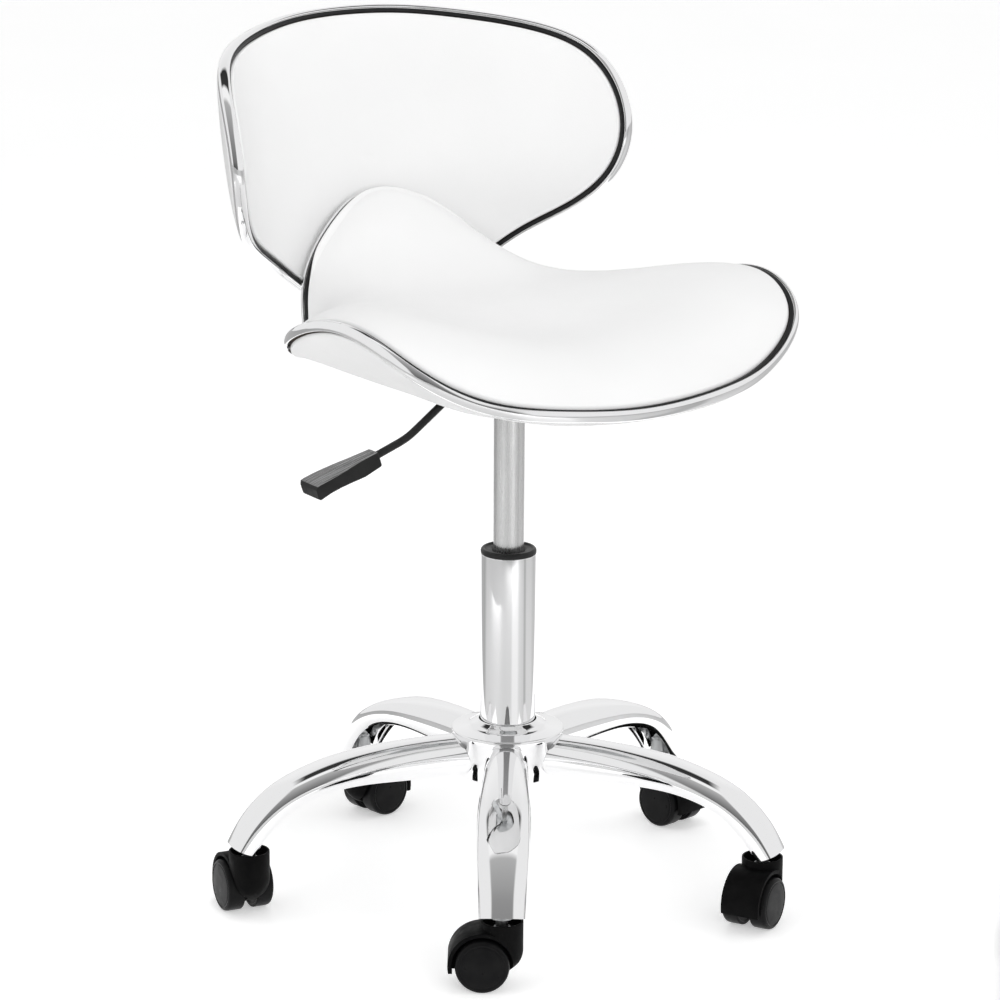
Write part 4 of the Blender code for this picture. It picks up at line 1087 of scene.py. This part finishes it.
def make_mount():
    square = [(-1, -1), (1, -1), (1, 1), (-1, 1)]
    corners = rounded([(PLATE_HALF * x, PLATE_HALF * y) for x, y in square], 0.012, 8)
    plate = lofted("plate", [(x, y, z) for z in PLATE_HEIGHTS for x, y in corners], len(corners))
    profile = ((0, 0.4560), (0.0190, 0.4560), (0.0190, 0.4993), (0, 0.4993))
    socket = turned("socket_tube", profile, 64)
    bore = turned("socket_bore", ((0, 0.4500), (0.0144, 0.4500), (0.0144, 0.4555),
                                  (0.0137, 0.482), (0.0137, 0.4973), (0, 0.4973)), 64)
    cheeks = box_mesh("cheeks", (-0.031, -0.0080, 0.4840), (-0.0165, 0.0080, 0.4993))
    slot = box_mesh("slot", (-0.040, -0.0045, 0.4830), (0.0, 0.0045, 0.4978))
    pivot = rod_mesh("pivot", 0.0021, (LEVER_PIVOT_X, -0.02, LEVER_HEIGHT),
                     (LEVER_PIVOT_X, 0.02, LEVER_HEIGHT), 24)
    steps = [("UNION", socket), ("UNION", cheeks)]
    steps += [("DIFFERENCE", m) for m in (bore, slot, pivot)]
    places = [(x * PLATE_SCREW_REACH, y * PLATE_SCREW_REACH) for x in (-1, 1) for y in (-1, 1)]
    for x, y in places:
        steps.append(("DIFFERENCE", rod_mesh("hole", 0.0033, (x, y, 0.49), (x, y, 0.51), 24)))
    mesh = combined("mount_plate", plate, steps, bevel=0.0003, angle=40)
    add("mount_plate", mesh, "zinc_steel", "seat", ["seat_mount"], 35)
    head = turned("mount_screw", rounded((
        (0, 0.4962), (0.0018, 0.4962), (0.0020, 0.4950), (0.0040, 0.4950), (0.0056, 0.4966),
        (0.0060, 0.4981), (0.0028, 0.4981), (0.0028, 0.5006), (0, 0.5006)), 0.0004, 3), 32)
    for number, (x, y) in enumerate(places, 1):
        add(f"mount_screw_{number}", head.copy(), "zinc_steel", "seat",
            sharp=35, matrix=Matrix.Translation((x, y, 0)))


LEVER_LINE = (
    (0.0045, LEVER_HEIGHT),
    (-0.0360, LEVER_HEIGHT),
    (-0.0430, 0.4872),
    (-0.1010, 0.4455),
    (-0.1070, 0.4418),
    (-0.1140, 0.4386),
    (-0.1520, 0.4248),
)
GRIP_START = (-0.1400, 0.4292)
GRIP_END = (-0.2075, 0.40775)
# Along the grip from the rod: share of its length, half width, top, bottom
GRIP_STATIONS = (
    (0.00, 0.0074, 0.0050, -0.0080),
    (0.012, 0.0079, 0.0055, -0.0085),
    (0.20, 0.0092, 0.0059, -0.0094),
    (0.27, 0.0098, 0.0060, -0.0096),
    (0.36, 0.0108, 0.0061, -0.0088),
    (0.50, 0.0127, 0.0062, -0.0073),
    (0.65, 0.0143, 0.0062, -0.0062),
    (0.80, 0.0151, 0.0062, -0.0060),
    (0.93, 0.0152, 0.0061, -0.0071),
    (0.975, 0.0151, 0.0057, -0.0076),
    (1.00, 0.0140, 0.0030, -0.0060),
)


def make_lever():
    line = rounded([(x, 0, z) for x, z in LEVER_LINE], 0.012, 6, closed=False)
    mesh = swept("lever_bar", line, circle(0.0035, 24))
    pin = rod_mesh("pin", 0.0018, (LEVER_PIVOT_X, -0.0078, LEVER_HEIGHT),
                   (LEVER_PIVOT_X, 0.0078, LEVER_HEIGHT), 20)
    mesh = combined("lever_bar", mesh, [("UNION", pin)])
    add("lever_bar", mesh, "black_powder_coat", "lever", ["lever_rod"], 40)

    start, end = np.array(GRIP_START), np.array(GRIP_END)
    length = float(np.linalg.norm(end - start))
    along = (end - start) / length
    upward = np.array([along[1], -along[0]])
    table = np.array(GRIP_STATIONS)
    shares = sorted({*np.linspace(0, 1, 41), *table[:, 0]})
    points = []
    for share in shares:
        half, top, bottom = (np.interp(share, table[:, 0], table[:, k]) for k in (1, 2, 3))
        middle = start + along * length * share
        corner = 0.0016
        outline = rounded((
            (half, top), (-half, top), (-half * 0.96, bottom), (half * 0.96, bottom)),
            (0.0009, 0.0009, corner, corner), 4)
        for across, up in outline:
            at = middle + upward * up
            points.append((at[0], across, at[1]))
    solid = lofted("grip_body", points, len(points) // len(shares))
    last, stop = np.array(LEVER_LINE[-2]), np.array(LEVER_LINE[-1])
    run = (stop - last) / np.linalg.norm(stop - last)
    stop = stop + run * 0.0004
    bore = rod_mesh("bore", 0.0038, (last[0], 0, last[1]), (stop[0], 0, stop[1]), 32)
    mesh = combined("grip_body", solid, [("DIFFERENCE", bore)])
    piece = add("grip_body", mesh, "black_plastic", "lever", ["lever_grip"], 35)
    mesh = piece.data
    mesh.materials.append(FINISH["grip_face"].material)
    direction = Vector((upward[0], 0, upward[1]))
    for face in mesh.polygons:
        if face.normal.dot(direction) > 0.97:
            face.material_index = 1


# Floor and light

WORLD_STRENGTH = 1.0
SIDE_TONE = 0.86
# Tones of the studio over the stool, from the camera's horizon (0) to the one behind it (1)
ARCH_TONES = (
    (0.0, 0.10), (0.04, 0.18), (0.08, 0.20), (0.25, 0.30), (0.46, 0.45), (0.50, 0.95), (0.57, 0.95),
    (0.60, 0.04), (0.71, 0.03), (0.74, 0.82), (0.88, 0.92), (1.0, 0.86),
)

# The strip of floor in view is white: its front edge, its half width beside the column, and how
# fast it widens away from the camera
STRIP_FRONT = 0.375
STRIP_HALF = 0.465
STRIP_WIDENS = 0.13
STRIP_EDGE = 0.03
STRIP_GLOW = 0.36
FLOOR_GLOW = 0.05
FLOOR_WHITE = 0.9
FLOOR_DIMMING = 0.87

# Tones of the studio floor outside the strip, by the turn from the camera's side towards the right
FLOOR_TONES = (
    (-180, 0.80), (-140, 0.50), (-112, 0.42), (-98, 0.72), (-40, 0.74), (-12, 0.69), (12, 0.70),
    (19, 0.90), (38, 0.92), (46, 0.72), (64, 0.66), (67, 0.45), (73, 0.45), (78, 0.74), (104, 0.78),
    (124, 0.60), (150, 0.75), (180, 0.80),
)


class Nodes:
    """Short ways to add arithmetic to a node tree."""

    def __init__(self, tree):
        self.tree = tree

    def math(self, operation, *values):
        made = node(self.tree, "ShaderNodeMath", operation=operation)
        for socket, value in zip(made.inputs, values):
            if isinstance(value, (int, float)):
                socket.default_value = value
            else:
                self.tree.links.new(value, socket)
        return made.outputs[0]

    def ramp(self, source, stops):
        """Grey by position, with stops from 0 to 1."""
        made = node(self.tree, "ShaderNodeValToRGB")
        elements = made.color_ramp.elements
        while len(elements) < len(stops):
            elements.new(0.5)
        for element, (position, value) in zip(elements, stops):
            element.position = position
            element.color = (*grey(value), 1)
        self.tree.links.new(source, made.inputs["Fac"])
        return made.outputs["Color"]

    def mix(self, factor, first, second):
        made = node(self.tree, "ShaderNodeMix", data_type="RGBA", blend_type="MIX")
        for socket, value in zip((made.inputs[0], made.inputs[6], made.inputs[7]),
                                 (factor, first, second)):
            if isinstance(value, (int, float, tuple)):
                socket.default_value = value
            else:
                self.tree.links.new(value, socket)
        return made.outputs[2]

    def turned(self, vector):
        """(right, away, up) as seen from the camera's side of the stool."""
        mapping = node(self.tree, "ShaderNodeMapping")
        mapping.inputs["Rotation"].default_value = (0, 0, -CAMERA_TURN)
        self.tree.links.new(vector, mapping.inputs["Vector"])
        split = node(self.tree, "ShaderNodeSeparateXYZ")
        self.tree.links.new(mapping.outputs["Vector"], split.inputs["Vector"])
        return split.outputs["X"], split.outputs["Y"], split.outputs["Z"]


def make_stage():
    """A studio floor with a white strip under the stool."""
    reach = 14.0
    mesh = box_mesh("floor", (-reach, -reach, -0.02), (reach, reach, 0))
    floor = bpy.data.objects.new("floor", mesh)
    bpy.context.scene.collection.objects.link(floor)
    finish = Finish("floor_look", grey(FLOOR_WHITE), 0.55, Specular_IOR_Level=0.2)
    made = Nodes(finish.tree)
    right, away, _ = made.turned(finish.place.outputs["Object"])
    half = made.math("MULTIPLY_ADD", away, STRIP_WIDENS, STRIP_HALF)
    beyond = made.math("SUBTRACT", made.math("ABSOLUTE", right), half)
    before = made.math("SUBTRACT", -STRIP_FRONT, away)
    outside = finish.ranged(made.math("MAXIMUM", beyond, before), 0.0, 1.0, 0.0, STRIP_EDGE)
    turn = made.math("ARCTAN2", right, made.math("MULTIPLY", away, -1.0))
    turn = made.math("MULTIPLY_ADD", turn, 1 / math.tau, 0.5)
    tones = [((angle + 180) / 360, tone * FLOOR_DIMMING) for angle, tone in FLOOR_TONES]
    colour = made.mix(outside, (*grey(FLOOR_WHITE), 1), made.ramp(turn, tones))
    finish.tree.links.new(colour, finish.shader.inputs["Base Color"])
    finish.roughness(finish.noise(3.0, 3.0), 0.5, 0.6)
    finish.shader.inputs["Emission Color"].default_value = (1, 1, 1, 1)
    glow = finish.ranged(outside, STRIP_GLOW, FLOOR_GLOW)
    finish.tree.links.new(glow, finish.shader.inputs["Emission Strength"])
    mesh.materials.append(finish.material)


def area_light(name, place, aim, size, power):
    """A soft box that chrome doesn't mirror, placed as seen from the camera's side of the stool."""
    data = bpy.data.lights.new(name, "AREA")
    data.shape = "RECTANGLE"
    data.size, data.size_y = size
    data.energy = power
    light = bpy.data.objects.new(name, data)
    bpy.context.scene.collection.objects.link(light)
    place = turned_vector(place) + AXIS
    aim = turned_vector(aim) + AXIS
    light.location = place
    light.rotation_euler = (aim - place).to_track_quat("-Z", "Y").to_euler()
    light.visible_glossy = False


def make_world():
    """White soft boxes behind, beside and above, with dark studio between them and at the front."""
    world = bpy.data.worlds.new("studio")
    bpy.context.scene.world = world
    world.use_nodes = True
    tree = world.node_tree
    background = tree.nodes["Background"]
    place = node(tree, "ShaderNodeTexCoord")
    made = Nodes(tree)
    right, away, up = made.turned(place.outputs["Generated"])
    # How high on the circle from the front horizon (0) over the top (0.5) to the back horizon (1)
    over = made.math("ARCTAN2", up, made.math("MULTIPLY", away, -1.0))
    over = made.math("MULTIPLY", over, 1 / math.pi)
    arch = made.ramp(over, ARCH_TONES)
    # The dark parts of the arch stay near the middle; soft boxes stand left and right of them
    aside = made.ramp(made.math("ABSOLUTE", right), ((0, 0), (0.38, 0), (0.46, 1), (1, 1)))
    colour = made.mix(aside, arch, (*grey(SIDE_TONE), 1))
    tree.links.new(colour, background.inputs["Color"])
    background.inputs["Strength"].default_value = WORLD_STRENGTH


def make_light():
    make_world()
    area_light("top", (0.0, 0.0, 2.6), (0, 0, 0.0), (0.4, 0.4), 13)
    area_light("front", (0.9, -3.1, 1.3), (0, 0, 0.5), (2.4, 1.6), 52)
    area_light("low", (-1.3, -1.1, 0.12), (0, 0, 0.5), (1.2, 1.0), 10)
    view = bpy.context.scene.view_settings
    view.view_transform = "Standard"
    view.look = "None"


make_camera()
make_base()
make_column()
make_mount()
make_lever()
make_seat()
make_back()
make_bar()
make_stage()
make_light()

bpy.context.view_layer.update()
